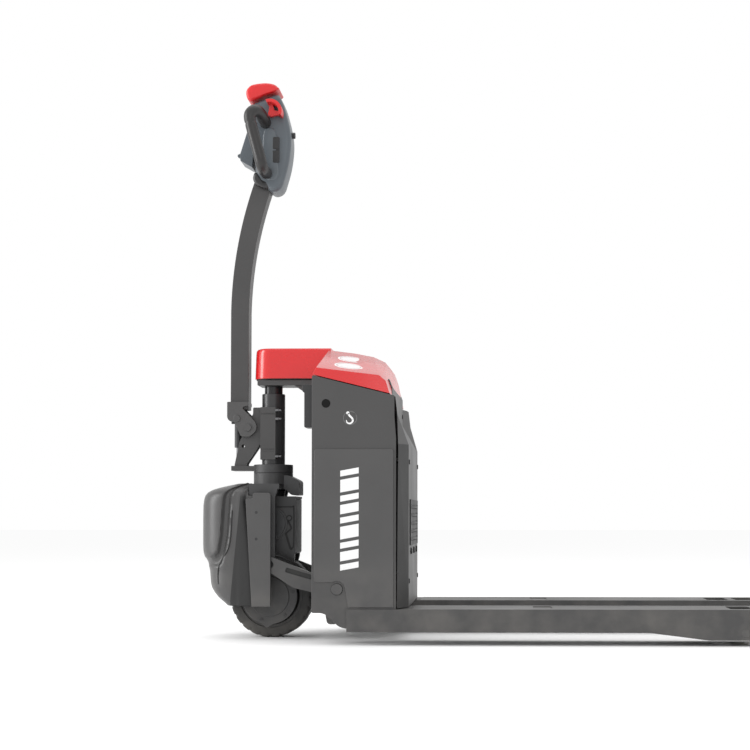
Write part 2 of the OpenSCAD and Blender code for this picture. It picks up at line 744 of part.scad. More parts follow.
module gear_case() {
  case = rounded([[-66, 105, 20], [-52, 290, 40], [-46, 352, 4], [62, 352], [66, 300, 10], [62, 205, 12],
    [58, 39, 52], [-66, 39, 56]], 8);
  wall = rounded([[42, 206, 3], [66, 214, 6], [66, 352, 3], [42, 352]]);
  color("#4b4b4c") at_steering() difference() {
    union() {
      plate_xz(case, -58, -38);
      plate_xz(rounded([[30, 352], [62, 352], [66, 300, 10], [62, 205, 12], [26, 84, 24], [-26, 84, 24],
        [-20, 150, 10], [34, 232, 20]]), 38, 52);
      plate_xz(wall, -58, 52);
      box_between([-46, -58, 352], [66, 58, case_top_z]);
      bar_y(11.95, -40, 44, 0, wheel_r);
    }
    bar_y(motor_r, -60, 60, 0, motor_z);
  }
}

// Motor across the truck above the wheel, with the parking brake on its far end
module drive_motor() {
  color("#2d2e30") at_steering() {
    bar_y(motor_r - running, -62, 40, 0, motor_z);
    bar_y(motor_r - 6, 40, 74, 0, motor_z);
  }
}

module gas_spring_rod() {
  color("#9a9a9c") at_steering() translate([spring_x, 0, 428]) cylinder(r = 5, h = 66);
}

module tiller_pin() {
  color("#77777a") at_steering() {
    bar_y(pivot_pin_r - 0.02, -clevis_out, clevis_out, pivot_x, pivot_z);
    bar_y(pivot_pin_r + 1.5, clevis_out + 0.3, clevis_out + 3, pivot_x, pivot_z);
    bar_y(pivot_pin_r + 1.5, -clevis_out - 3, -clevis_out - 0.3, pivot_x, pivot_z);
    bar_y(pivot_pin_r - 0.5, clevis_out - eps, clevis_out + 0.3 + eps, pivot_x, pivot_z);
    bar_y(pivot_pin_r - 0.5, -clevis_out - 0.3 - eps, -clevis_out + eps, pivot_x, pivot_z);
  }
}

module drive_tyre() {
  color("#2b2b2c") at_steering() translate([0, 0, wheel_r]) rotate([90, 0, 0]) rotate_extrude($fn = 96)
    polygon(rounded([[80, -wheel_w / 2], [wheel_r, -wheel_w / 2, 6], [wheel_r, wheel_w / 2, 6],
      [80, wheel_w / 2]]));
}

module drive_hub() {
  color("#505051") at_steering() translate([0, 0, wheel_r]) rotate([90, 0, 0]) rotate_extrude($fn = 96)
    polygon([[12, -30], [30, -30], [36, -18], [66, -18], [72, -32], [80, -32], [80, 32], [72, 32],
      [66, 18], [36, 18], [30, 30], [12, 30]]);
}

// ---- tiller ------------------------------------------------------------------------------------------

end_x = tube_x + bend_r * (1 - cos(bend_angle));
end_z = straight_top_z + bend_r * sin(bend_angle);

bend_steps = 20;

// One side of the tube in the XZ plane, at the given distance from its middle line, with the ends drawn out
function tube_side_line(d, past = 0) = concat(
  [[tube_x + d, tube_base_z - past], [tube_x + d, straight_top_z]],
  [for (k = [1 : bend_steps]) let (a = bend_angle * k / bend_steps)
    [tube_x + bend_r - (bend_r - d) * cos(a), straight_top_z + (bend_r - d) * sin(a)]],
  past > 0 ? [[end_x + d * cos(bend_angle) + past * sin(bend_angle),
    end_z - d * sin(bend_angle) + past * cos(bend_angle)]] : []);

function reversed(points) = [for (i = [len(points) - 1 : -1 : 0]) points[i]];

// The tube's path as a solid of the given square section
module tube_path(outer, past = 0) {
  plate_xz(concat(tube_side_line(-outer / 2, past), reversed(tube_side_line(outer / 2, past))), -outer / 2,
    outer / 2);
}

module tiller_tube() {
  color("#575758") at_steering() difference() {
    tube_path(tube_side);
    tube_path(tube_side - 2 * tube_wall, 1);
  }
}

module tiller_clevis() {
  outline = rounded([
    [-115, 600, 2], [-115, 549, 14], [-96, 549, 6], [pivot_x - 18, pivot_z - 22, 8],
      [pivot_x + 4, pivot_z - 25, 18],
    [pivot_x + 25, pivot_z - 6, 18], [pivot_x + 20, pivot_z + 14, 16], [-78, 586, 4], [-61.5, 590, 2],
      [-61.5, 600, 2]]);
  color("#636364") at_steering() {
    difference() {
      both_plates(outline, clevis_in, clevis_out);
      bar_y(pivot_pin_r + running, -60, 60, pivot_x, pivot_z);
    }
    bar_y(lug_pin_r, -clevis_in, clevis_in, lug_x, lug_z);
    mirrored() bar_y(lug_pin_r + 4, clevis_out, clevis_out + 2, lug_x, lug_z);
  }
}

module gas_spring_barrel() {
  color("#1a1a1b") at_steering() difference() {
    union() {
      translate([spring_x, 0, 484]) cylinder(r = 9.5, h = 61);
      box_between([lug_x - 18, -6, 545], [lug_x + 14, 6, 567]);
    }
    translate([spring_x, 0, 480]) cylinder(r = 5 + running, h = 63);
    plate_xz(rounded([[lug_x - 14.4, lug_z - 6.3, 5.5], [lug_x + 8.4, lug_z - 6.3, 5.5],
      [lug_x + 8.4, lug_z + 6.3, 5.5], [lug_x - 14.4, lug_z + 6.3, 5.5]]), -10, 10);
  }
}

// ---- control head ------------------------------------------------------------------------------------

head_half = head_width / 2;
head_lean = 19.5;
throttle_x = -1;
throttle_z = 1335;
throttle_r = 8;
head_outline = rounded([
  [-60, 1367, 5], [20, 1396, 3], [48, 1303, 40], [50, 1268, 40], [44, 1212, 50], [29, 1156, 18],
    [6, 1137, 18], [-18, 1147, 20],
  [-46, 1160, 14], [-53, 1190, 14], [-49, 1240, 20], [-49, 1300, 20]]);
head_cavity = rounded([
  [-54, 1360, 4], [15, 1385, 3], [42, 1301, 38], [44, 1268, 38], [38, 1214, 46], [24, 1190, 18],
    [-40, 1190, 12],
  [-44, 1240, 18], [-44, 1300, 18]]);
band_outline = rounded([[-60, 1200], [-60, 1140], [-14, 1140], [-14, 1172, 6], [-34, 1186, 6], [-40, 1200]]);
pod_outline = rounded([[-45, 1332], [-60, 1312, 10], [-83, 1238, 5], [-83, 1219, 3], [-45, 1197]]);

// The seat of a side rocker, from its lower front corner
rocker_low = [2, 1211];
rocker_size = [17, 66];
rocker_mid_z = rocker_low[1] + rocker_size[1] / 2;

// The rocker's outline grown by a clearance
module rocker_outline(gap) {
  translate(rocker_low - [gap, gap]) polygon(rounded([
    [0, 0, 4], [rocker_size[0] + 2 * gap, 0, 4], [rocker_size[0] + 2 * gap, rocker_size[1] + 2 * gap, 4],
    [0, rocker_size[1] + 2 * gap, 4]]));
}

module head_shell() {
  color("#5f656b") at_steering() difference() {
    plate_xz(head_outline, -head_half, head_half);
    plate_xz(head_cavity, -head_half + cover_wall, head_half - cover_wall);
    plate_xz(band_outline, -head_half - 1, head_half + 1);
    tube_path(tube_side);
    // shaft of the throttle
    bar_y(throttle_r + 0.08, -60, 60, throttle_x, throttle_z);
    // stem of the reversing button
    translate([-18, 0, 1380]) rotate([0, -head_lean, 0]) cube([30.6, 30.6, 40], center = true);
    mirrored() translate([0, head_half + 1, 0]) rotate([90, 0, 0]) linear_extrude(cover_wall + 2)
      rocker_outline(0.6);
    translate([30, 0, 1291]) rotate([0, 90, 0]) cylinder(r = 8.3, h = 40);
  }
}

module head_band() {
  color("#17181a") at_steering() difference() {
    intersection() {
      plate_xz(head_outline, -head_half, head_half);
      plate_xz(band_outline, -head_half, head_half);
    }
    tube_path(tube_side);
  }
}

module display_pod() {
  color("#787e84") at_steering() {
    difference() {
      plate_xz(pod_outline, -34, 34);
      plate_xz(head_outline, -head_half, head_half);
    }
    plate_xz(rounded([[-83, 1229], [-95, 1236, 2], [-95, 1241, 2], [-82, 1247]]), -6, 6);
  }
}

grip_route = [
  [-18, head_half, 1314], [-28, 96, 1328], [-46, 116, 1311], [-18, 116, 1200], [-16, 98, 1184],
  [-14, head_half, 1184]];

module hand_grips() {
  color("#222223") at_steering() mirrored() intersection() {
    for (i = [0 : 4]) hull() for (p = [grip_route[i], grip_route[i + 1]]) translate(p)
      sphere(r = grip_r, $fn = 24);
    box_between([-200, head_half, 1000], [200, 300, 1500]);
  }
}

module throttle_wings() {
  wing = [for (a = [-20 : 10 : 110]) 31 * [cos(a), sin(a)],
    for (a = [110 : -10 : -20]) 23 * [cos(a), sin(a)]];
  spoke = [[0, -6], [26, -4], [26, 4], [8, 8], [4, 26], [-4, 26], [-6, 6]];
  color("#d8242a") at_steering() translate([throttle_x, 0, throttle_z]) {
    bar_y(throttle_r, -head_half - 12, head_half + 12);
    mirrored() {
      translate([0, head_half + 38, 0]) rotate([90, 0, 0]) linear_extrude(36) polygon(wing);
      translate([0, head_half + 12, 0]) rotate([90, 0, 0]) linear_extrude(10) polygon(spoke);
    }
  }
}

module reverse_button() {
  cap = rounded([
    [-61, 1370.6, 2], [19, 1399.5, 2], [16, 1412, 12], [-6, 1420.7, 20], [-50, 1418, 16], [-71, 1398, 12]]);
  color("#e8262c") at_steering() {
    plate_xz(cap, -head_half - 4, head_half + 4);
    translate([-18, 0, 1380]) rotate([0, -head_lean, 0]) translate([0, 0, -4])
      cube([30, 30, 26], center = true);
  }
}

// A rocker with a lobe above and below its pivot
module rocker() {
  difference() {
    translate([0, head_half + 3, 0]) rotate([90, 0, 0]) linear_extrude(5) rocker_outline(0);
    box_between([rocker_low[0] - 1, head_half + 1.5, rocker_mid_z - 2],
      [rocker_low[0] + 30, head_half + 6, rocker_mid_z + 2]);
  }
}

module left_rocker() { color("#1a1a1b") at_steering() rocker(); }
module right_rocker() { color("#1a1a1b") at_steering() mirror([0, 1, 0]) rocker(); }

module horn_button() {
  color("#121213") at_steering() translate([41, 0, 1291]) rotate([0, 90, 0]) cylinder(r = 8, h = 13);
}

// ---- the nodes -----------------------------------------------------------------------------------------

left_fork();
right_fork();
left_side_plate();
right_side_plate();
front_plate();
back_panel();
corner_strips();
side_covers();
floor_plate();
top_bracket();
top_cover();
battery_pack();
controller();
pump_unit();
hydraulic_hose();
piston_rod();
crank_pins();
fork_pins();
vent_grille();
rubber_bumpers();
rubber_plugs();
front_box();
motor_cable();
panel_screws();
crown();
drive_cover();
cover_screws();
bell_crank();
push_rods();
left_wheel_frame();
right_wheel_frame();
left_bogie();
right_bogie();
left_rear_roller();
left_front_roller();
right_rear_roller();
right_front_roller();
lift_cylinder();
steering_flange();
tiller_bracket();
bracket_bolts();
gear_case();
drive_motor();
gas_spring_rod();
tiller_pin();
drive_tyre();
drive_hub();
tiller_tube();
tiller_clevis();
head_shell();
head_band();
hand_grips();
display_pod();
gas_spring_barrel();
throttle_wings();
reverse_button();
left_rocker();
right_rocker();
horn_button();
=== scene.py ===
import bpy
import bmesh
import json
import math
from mathutils import Matrix, Vector


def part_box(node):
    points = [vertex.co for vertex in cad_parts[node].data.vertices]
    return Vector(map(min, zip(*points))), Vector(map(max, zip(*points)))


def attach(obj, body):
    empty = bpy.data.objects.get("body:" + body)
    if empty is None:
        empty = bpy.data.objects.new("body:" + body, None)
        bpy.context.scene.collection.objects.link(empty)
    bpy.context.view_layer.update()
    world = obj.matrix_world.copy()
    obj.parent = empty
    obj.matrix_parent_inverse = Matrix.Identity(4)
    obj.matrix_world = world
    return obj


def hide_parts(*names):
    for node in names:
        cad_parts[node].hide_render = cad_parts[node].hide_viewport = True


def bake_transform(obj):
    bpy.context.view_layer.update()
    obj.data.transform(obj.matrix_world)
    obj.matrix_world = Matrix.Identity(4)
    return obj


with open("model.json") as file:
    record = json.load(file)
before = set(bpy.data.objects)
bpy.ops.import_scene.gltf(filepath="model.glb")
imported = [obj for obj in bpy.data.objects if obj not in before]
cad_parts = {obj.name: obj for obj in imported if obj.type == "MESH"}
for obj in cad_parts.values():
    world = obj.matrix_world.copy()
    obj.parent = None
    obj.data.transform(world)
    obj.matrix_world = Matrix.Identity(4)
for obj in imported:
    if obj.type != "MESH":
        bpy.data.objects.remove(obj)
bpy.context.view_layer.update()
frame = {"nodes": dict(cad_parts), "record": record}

# ---- Studio --------------------------------------------------------------------------------------
# A plain white floor, with soft light from above, from the tiller's end and from
# the camera's side, and a nearly level camera low beside the truck.

scene = bpy.context.scene
scene.view_settings.view_transform = "Standard"
steering_x = (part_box("piston_rod")[0][0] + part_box("piston_rod")[1][0]) / 2

camera_data = bpy.data.cameras.new("camera")
camera_data.lens = 70.94
camera_data.sensor_width = 36
camera_data.shift_x = -0.110
camera_data.shift_y = 0.137
camera = bpy.data.objects.new("camera", camera_data)
scene.collection.objects.link(camera)
camera.location = (steering_x + 0.5724, -3.785, 0.307)
camera.rotation_euler = (math.radians(91.5), 0, math.radians(1.5))
camera_data.clip_start = 0.05
camera_data.clip_end = 200
scene.camera = camera


class Wire:
    """A socket in a shader; Python's operators on it add Math nodes."""

    def __init__(self, finish, socket):
        self.finish = finish
        self.socket = socket

    def maths(self, operation, a, b):
        return self.finish.node("Math", {"operation": operation, "use_clamp": False}, {0: a, 1: b})

    def __add__(self, other):
        return self.maths("ADD", self, other)

    def __radd__(self, other):
        return self.maths("ADD", other, self)

    def __sub__(self, other):
        return self.maths("SUBTRACT", self, other)

    def __rsub__(self, other):
        return self.maths("SUBTRACT", other, self)

    def __mul__(self, other):
        return self.maths("MULTIPLY", self, other)

    def __rmul__(self, other):
        return self.maths("MULTIPLY", other, self)


class Finish:
    """A material with one Principled shader, and the nodes that feed it."""

    def __init__(self, name, colour, rough, metallic=0.0, coat=0.0, coat_rough=0.1, specular=0.5):
        self.material = bpy.data.materials.new(name)
        self.material.use_nodes = True
        self.tree = self.material.node_tree
        self.shader = self.tree.nodes["Principled BSDF"]
        base = (*colour, 1)
        sockets = self.shader.inputs
        sockets["Base Color"].default_value = base
        sockets["Roughness"].default_value = rough
        sockets["Metallic"].default_value = metallic
        sockets["Coat Weight"].default_value = coat
        sockets["Coat Roughness"].default_value = coat_rough
        sockets["Specular IOR Level"].default_value = specular
        self.material.diffuse_color = base

    def node(self, kind, settings, sockets, out=0):
        made = self.tree.nodes.new("ShaderNode" + kind)
        for key, value in settings.items():
            if key == "stops":
                ramp = made.color_ramp
                ramp.elements[0].position, ramp.elements[0].color = value[0]
                ramp.elements[1].position, ramp.elements[1].color = value[-1]
                for place, colour in value[1:-1]:
                    ramp.elements.new(place).color = colour
            else:
                setattr(made, key, value)
        for key, value in sockets.items():
            if isinstance(value, Wire):
                self.tree.links.new(value.socket, made.inputs[key])
            else:
                made.inputs[key].default_value = value
        return Wire(self, made.outputs[out])

    def feed(self, name, wire):
        self.tree.links.new(wire.socket, self.shader.inputs[name])

    def place(self):
        return self.node("TexCoord", {}, {}, out="Object")

    def noise(self, scale, detail=2.0, stretch=None, centre=(0, 0, 0)):
        where = self.place()
        if stretch:
            where = self.node("Mapping", {}, {"Vector": where, "Location": centre, "Scale": stretch})
        return self.node("TexNoise", {}, {"Vector": where, "Scale": scale, "Detail": detail})

    def range(self, value, low, high, to_low=0.0, to_high=1.0):
        limits = {"From Min": low, "From Max": high, "To Min": to_low, "To Max": to_high}
        return self.node("MapRange", {"clamp": True}, {"Value": value, **limits})

    def blend(self, factor, a, b):
        return self.node("Mix", {"data_type": "RGBA", "clamp_factor": True}, {0: factor, 6: a, 7: b}, out=2)

    def bump(self, height, strength, distance):
        relief = {"Height": height, "Strength": strength, "Distance": distance}
        self.feed("Normal", self.node("Bump", {}, relief))


def shade(colour, by):
    return tuple(min(1.0, max(0.0, c * by)) for c in colour) + (1,)


def worn(name, colour, rough, grain=900, depth=0.25, mottle=0.10, scratches=0.35, dust=0.25,
         scratch_tint=1.9, **facts):
    """A finish with faint mottling, fine grain, sparse hairline scratches, and dust towards the floor."""
    finish = Finish(name, colour, rough, **facts)
    cloud = finish.noise(7, 4)
    mottled = finish.range(cloud, 0.35, 0.65)
    toned = finish.blend(mottled, shade(colour, 1 - mottle), shade(colour, 1 + mottle))
    lines = finish.range(finish.noise(22, 3, stretch=(1.0, 1.0, 26.0), centre=(3, 7, 1)), 0.70, 0.74)
    patches = finish.range(finish.noise(4, 2), 0.52, 0.62)
    scratch = lines * patches * scratches
    toned = finish.blend(scratch, toned, shade(colour, scratch_tint))
    height = finish.node("SeparateXYZ", {}, {0: finish.place()}, out="Z")
    dust_line = 0.22
    low_down = finish.range(height, 0.0, dust_line, 1.0, 0.0)
    dusty = low_down * finish.range(finish.noise(16, 5), 0.35, 0.75) * dust
    grime = (0.30, 0.28, 0.25, 1)
    finish.feed("Base Color", finish.blend(dusty, toned, grime))
    sheen = finish.range(cloud, 0.3, 0.7, rough - 0.05, rough + 0.06)
    finish.feed("Roughness", sheen + dusty * 0.3 + scratch * 0.1)
    finish.bump(finish.noise(grain, 2) - scratch * 0.8, depth, 0.0004)
    return finish


floor_reach = 30
floor_corners = [(x * floor_reach, y * floor_reach, 0) for x, y in [(-1, -1), (1, -1), (1, 1), (-1, 1)]]
floor_mesh = bpy.data.meshes.new("floor")
floor_mesh.from_pydata(floor_corners, [], [(0, 1, 2, 3)])
floor = bpy.data.objects.new("floor", floor_mesh)
scene.collection.objects.link(floor)
floor_mesh.materials.append(Finish("floor_paint", (0.965, 0.965, 0.965), 0.85, specular=0.0).material)

world = bpy.data.worlds.new("studio")
world.use_nodes = True
world.node_tree.nodes["Background"].inputs["Color"].default_value = (1, 1, 1, 1)
world.node_tree.nodes["Background"].inputs["Strength"].default_value = 1.0
scene.world = world


def lamp(name, place, target, size, power):
    data = bpy.data.lights.new(name, "AREA")
    data.shape = "RECTANGLE"
    data.size, data.size_y = size
    data.energy = power
    made = bpy.data.objects.new(name, data)
    scene.collection.objects.link(made)
    made.location = place
    made.rotation_euler = (Vector(target) - Vector(place)).to_track_quat("-Z", "Y").to_euler()


lamp("overhead", (0.0, 0.2, 4.2), (0, 0, 0.4), (4.0, 3.0), 40)
lamp("left_wall", (-4.0, -1.0, 1.5), (-0.5, 0, 0.5), (1.2, 3.0), 85)
lamp("front_wall", (1.2, -5.0, 2.4), (-0.3, 0, 0.5), (3.0, 2.0), 20)

# ---- Welded and powder-coated chassis ------------------------------------------------------------
# Laser-cut and folded steel plates, welded into a box behind the drive and two
# channel forks in front of it, then powder coated dark grey as one piece.

bodies = frame["record"]["behaviour"]["bodies"]
riding_on = {node: body for body, nodes in bodies.items() for node in nodes}


def settle(obj, finish, body, bevel=0.0, segments=2, sharp=35):
    """Gives a finished mesh its rounding, smooth shading, material and body."""
    mesh = obj.data
    for face in mesh.polygons:
        face.use_smooth = True
    mesh.set_sharp_from_angle(angle=math.radians(sharp))
    if not mesh.materials:
        mesh.materials.append(finish.material)
    if bevel:
        edge = obj.modifiers.new("edges", "BEVEL")
        edge.width = bevel
        edge.segments = segments
        edge.limit_method = "ANGLE"
        edge.angle_limit = math.radians(30)
        edge.use_clamp_overlap = True
        edge.harden_normals = True
    if body:
        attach(obj, body)
    return obj


def from_faces(name, verts, faces):
    mesh = bpy.data.meshes.new(name)
    mesh.from_pydata([tuple(v) for v in verts], [], faces)
    work = bmesh.new()
    work.from_mesh(mesh)
    bmesh.ops.remove_doubles(work, verts=work.verts, dist=1e-6)
    bmesh.ops.recalc_face_normals(work, faces=work.faces)
    work.to_mesh(mesh)
    work.free()
    obj = bpy.data.objects.new(name, mesh)
    scene.collection.objects.link(obj)
    return obj


def refine(node, finish, bevel=0.0009, segments=2, sharp=35):
    """A cleaned copy of a CAD node that stands in its place, with rounded edges."""
    mesh = frame["nodes"][node].data.copy()
    mesh.name = node + "_skin"
    mesh.materials.clear()
    work = bmesh.new()
    work.from_mesh(mesh)
    bmesh.ops.remove_doubles(work, verts=work.verts, dist=2e-6)
    bmesh.ops.dissolve_limit(work, angle_limit=math.radians(0.6), verts=work.verts, edges=work.edges)
    work.to_mesh(mesh)
    work.free()
    obj = bpy.data.objects.new(node + "_skin", mesh)
    scene.collection.objects.link(obj)
    settle(obj, finish, riding_on[node], bevel, segments, sharp)
    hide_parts(node)
    return obj


dark_paint = worn("dark_powder_coat", (0.049, 0.048, 0.048), 0.46, mottle=0.05)
panel_paint = worn("panel_powder_coat", (0.060, 0.059, 0.059), 0.42, mottle=0.05)
for node in ["left_fork", "right_fork", "left_side_plate", "right_side_plate", "front_plate", "floor_plate",
             "top_bracket"]:
    refine(node, dark_paint, 0.0012)
refine("side_covers", panel_paint, 0.0022, 3)
refine("back_panel", dark_paint, 0.0012)
strips = refine("corner_strips", dark_paint, 0.0008)
# The near-black paint on the lower part of the corner strips is painted shade for the recess beside the side
# covers.
painted_shade_paint = worn("painted_shade_coat", (0.013, 0.013, 0.013), 0.55, mottle=0.05, scratches=0.1, dust=0.1)
strips.data.materials.append(painted_shade_paint.material)
painted_shade_below = 0.45
for face in strips.data.polygons:
    if face.center.z < painted_shade_below:
        face.material_index = 1

# ---- Hardware on the chassis ---------------------------------------------------------------------
# Painted turned pins, black rubber plugs and bumpers and a moulded vent grille,
# the battery, controller, pump and hose inside the box, and the lift rod.

bare_steel = worn("bare_steel", (0.16, 0.16, 0.165), 0.36, grain=600, depth=0.12, metallic=1.0, scratches=0.5)
painted_pin = worn("painted_pin", (0.056, 0.055, 0.055), 0.42)
black_rubber = worn("black_rubber", (0.013, 0.013, 0.013), 0.62, grain=500, scratches=0.1, dust=0.4)
black_moulding = worn("black_moulding", (0.018, 0.018, 0.019), 0.38, grain=1400, depth=0.18, scratches=0.15)
housing = worn("housing_paint", (0.030, 0.031, 0.033), 0.40)
refine("crank_pins", painted_pin, 0.0012)
refine("fork_pins", painted_pin, 0.0008)
refine("panel_screws", black_moulding, 0.0005)
refine("rubber_bumpers", black_rubber, 0.0008)
plug_rubber = worn("plug_rubber", (0.004, 0.004, 0.004), 0.7, grain=500, scratches=0.0, dust=0.1,
                   specular=0.2)
refine("rubber_plugs", plug_rubber, 0.0006)
grille_moulding = worn("grille_moulding", (0.006, 0.006, 0.006), 0.5, grain=1400, depth=0.18,
                       scratches=0.1, specular=0.3)
refine("vent_grille", grille_moulding, 0.0006)
refine("front_box", dark_paint, 0.0012)
refine("battery_pack", black_moulding, 0.003, 3)
refine("controller", housing, 0.0008)
refine("pump_unit", housing, 0.001)
refine("hydraulic_hose", black_rubber)
refine("piston_rod", worn("rod_paint", (0.022, 0.022, 0.023), 0.30, metallic=0.4), 0.001)

# ---- Carrier, lift linkage and load wheels -------------------------------------------------------
# A cast crown carries the drive cover; a bell crank with two arms pushes a rod
# under each fork, which swings a bogie of two polyurethane rollers down.

casting = worn("painted_casting", (0.036, 0.036, 0.037), 0.50, grain=420, depth=0.45)
refine("crown", casting, 0.0022, 3)
refine("cover_screws", black_moulding, 0.0005)
crank = refine("bell_crank", panel_paint, 0.0015)
# The floor of the crank's groove takes the same near-black paint: painted shade in the recess.
crank.data.materials.append(painted_shade_paint.material)
groove_floor_y = 0.115
for face in crank.data.polygons:
    if abs(abs(face.center.y) - groove_floor_y) < 0.0004 and abs(face.normal.y) > 0.9:
        face.material_index = 1
refine("push_rods", dark_paint, 0.001)
urethane = worn("cast_urethane", (0.43, 0.335, 0.18), 0.36, grain=300, depth=0.15, scratches=0.2, dust=0.35)
core_radius, core_half_width, axle_radius = 0.0275, 0.028, 0.012
for side in ["left", "right"]:
    refine(side + "_wheel_frame", casting, 0.001)
    refine(side + "_bogie", casting, 0.001)
    for end in ["rear", "front"]:
        roller = refine(side + "_" + end + "_roller", urethane, 0.0008)
        roller.data.materials.append(bare_steel.material)
        middle = sum((Vector(v.co) for v in roller.data.vertices), Vector()) / len(roller.data.vertices)
        for face in roller.data.polygons:
            out = face.center - middle
            from_axle = math.hypot(out.x, out.z)
            if from_axle < core_radius and abs(out.y) > core_half_width or from_axle < axle_radius:
                face.material_index = 1

# ---- Steered drive unit --------------------------------------------------------------------------
# A cast gear case hangs from the turntable with the motor across it, and the
# lift cylinder stands on top with the tiller's welded bracket clamped to it.

cylinder_paint = worn("cylinder_paint", (0.026, 0.026, 0.027), 0.34)
refine("lift_cylinder", cylinder_paint, 0.0016)
refine("steering_flange", casting, 0.0014)
refine("tiller_bracket", dark_paint, 0.0012)
refine("bracket_bolts", bare_steel, 0.0006)
refine("gear_case", casting, 0.0018)
refine("drive_motor", housing, 0.0018)
refine("gas_spring_rod", bare_steel, 0.0004)
refine("tiller_pin", painted_pin, 0.001)
refine("gas_spring_barrel", black_moulding, 0.001)
refine("drive_hub", casting, 0.0012)
refine("tiller_tube", worn("tube_powder_coat", (0.044, 0.043, 0.043), 0.44, mottle=0.05), 0.0028, 3)
refine("tiller_clevis", panel_paint, 0.0012)

# ---- Motor cable ---------------------------------------------------------------------------------
# One sheathed cable hangs in a loop from a gland in the front plate to the
# carrier's leg, long enough for the whole lift.


def spline(a, b, c, d, t):
    """The place between b and c on a Catmull-Rom curve through four points."""
    return 0.5 * ((2 * b) + (c - a) * t + (2 * a - 5 * b + 4 * c - d) * t * t
                  + (3 * b - 3 * c + d - a) * t * t * t)


def rounded_path(points, steps=8):
    """A smooth curve through the points, from the first to the last."""
    points = [Vector(p) for p in points]
    ends = [2 * points[0] - points[1]] + points + [2 * points[-1] - points[-2]]
    path = []
    for i in range(1, len(ends) - 2):
        path += [spline(*ends[i - 1:i + 3], k / steps) for k in range(steps)]
    return path + [points[-1]]


def bands(count, rings):
    """The faces between rings of equal count that follow each other."""
    faces = []
    for i in range(rings - 1):
        here, there = i * count, (i + 1) * count
        for k in range(count):
            n = (k + 1) % count
            faces.append((here + k, here + n, there + n, there + k))
    return faces


def tube(name, path, radius, sides):
    """A closed tube along a path; radius is one number, or a function of the share of the path."""
    verts = []
    side = None
    for i, point in enumerate(path):
        ahead = (path[min(i + 1, len(path) - 1)] - path[max(i - 1, 0)]).normalized()
        if side is None:
            side = ahead.orthogonal().normalized()
        side = (side - ahead * side.dot(ahead)).normalized()
        up = ahead.cross(side)
        r = radius(i / (len(path) - 1)) if callable(radius) else radius
        verts += [point + r * (math.cos(a) * side + math.sin(a) * up)
                  for a in (2 * math.pi * k / sides for k in range(sides))]
    faces = bands(sides, len(path))
    faces.append(tuple(range(sides)))
    faces.append(tuple(range((len(path) - 1) * sides, len(path) * sides)))
    return from_faces(name, verts, faces)


def at(x, y, z):
    """A point in millimetres from the steering axis, as metres in the row frame."""
    return Vector((steering_x + x / 1000, y / 1000, z / 1000))


cable_radius = 0.0038
cable_points = [(144, -60, 228), (124, -60, 228), (115, -60, 224), (110, -60, 214), (110, -61, 194),
                (112, -62, 168), (110, -65, 154), (103, -71, 149), (94, -79, 158), (70, -88, 186),
                (45, -94, 202), (28, -98, 208), (20.5, -98, 209)]
cable = tube("motor_cable_run", rounded_path([at(*p) for p in cable_points]), cable_radius, 16)
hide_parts("motor_cable")
settle(cable, black_rubber, None)
at(112, -62, 228)
at(24, -98, 209)
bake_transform(cable)

# ---- Drive cover ---------------------------------------------------------------------------------
# A moulded plastic hood round the drive wheel: a bulged nose above a step, a
# trough that runs down each flank and forward round the nose, and flat skirts.


def ease(low, high, value):
    t = min(1.0, max(0.0, (value - low) / (high - low)))
    return t * t * (3 - 2 * t)


def along(table, value):
    """Straight-line look-up in a table of (place, value) pairs."""
    for (a, va), (b, vb) in zip(table, table[1:]):
        if value <= b:
            return va + (vb - va) * max(0.0, (value - a) / (b - a))
    return table[-1][1]


rim_z = 84
crest_z = 345
nose_reach = [(84, 108), (92, 118), (104, 133), (116, 143), (128, 150), (140, 153), (168, 155), (182, 158),
              (194, 163), (206, 169), (218, 172.5), (235, 173.6), (300, 173.8), (335, 173.4), (345, 172)]
crest = [(0.0, 1.0, 345), (0.1, 0.992, 354), (0.2, 0.975, 361), (0.32, 0.94, 368), (0.46, 0.88, 374),
         (0.62, 0.79, 379), (0.8, 0.66, 384.5), (1.0, 0.50, 390.5)]
cover_plastic = worn("cover_plastic", (0.058, 0.057, 0.057), 0.36, grain=1300, depth=0.15, scratches=0.25)
# A near-black finish: real sealant and seals on the gear case, and painted shade for the hood's groove and
# under the red cap.
black_sealant_and_shade = worn("black_sealant_and_shade", (0.006, 0.006, 0.006), 0.6, grain=900, scratches=0.0)

# Painted shade runs down each flank, between two leaning edges: a darker band for a facet of the hood that
# faces away from the light.
flank_x = cover_plastic.node("SeparateXYZ", {}, {0: cover_plastic.place()}, out="X")
flank_z = cover_plastic.node("SeparateXYZ", {}, {0: cover_plastic.place()}, out="Z")
nose_lean, tail_lean = 0.0967, 0.0595
nose_edge, tail_edge = steering_x - 0.1004, steering_x - 0.0306
shade_nose_side = cover_plastic.range(flank_x - flank_z * nose_lean, nose_edge, nose_edge + 0.001)
shade_tail_side = cover_plastic.range(flank_x + flank_z * tail_lean, tail_edge, tail_edge + 0.001, 1.0, 0.0)
shade_top_limit = cover_plastic.range(flank_z, 0.356, 0.364, 1.0, 0.0)
plain = Wire(cover_plastic, cover_plastic.shader.inputs["Base Color"].links[0].from_socket)
# The band's near-black colour is painted shade, not a second plastic.
painted_shade_colour = (0.016, 0.016, 0.016, 1)
cover_plastic.feed("Base Color", cover_plastic.blend(shade_nose_side * shade_tail_side * shade_top_limit, plain, painted_shade_colour))
waist_x = -62
tail_x = -31


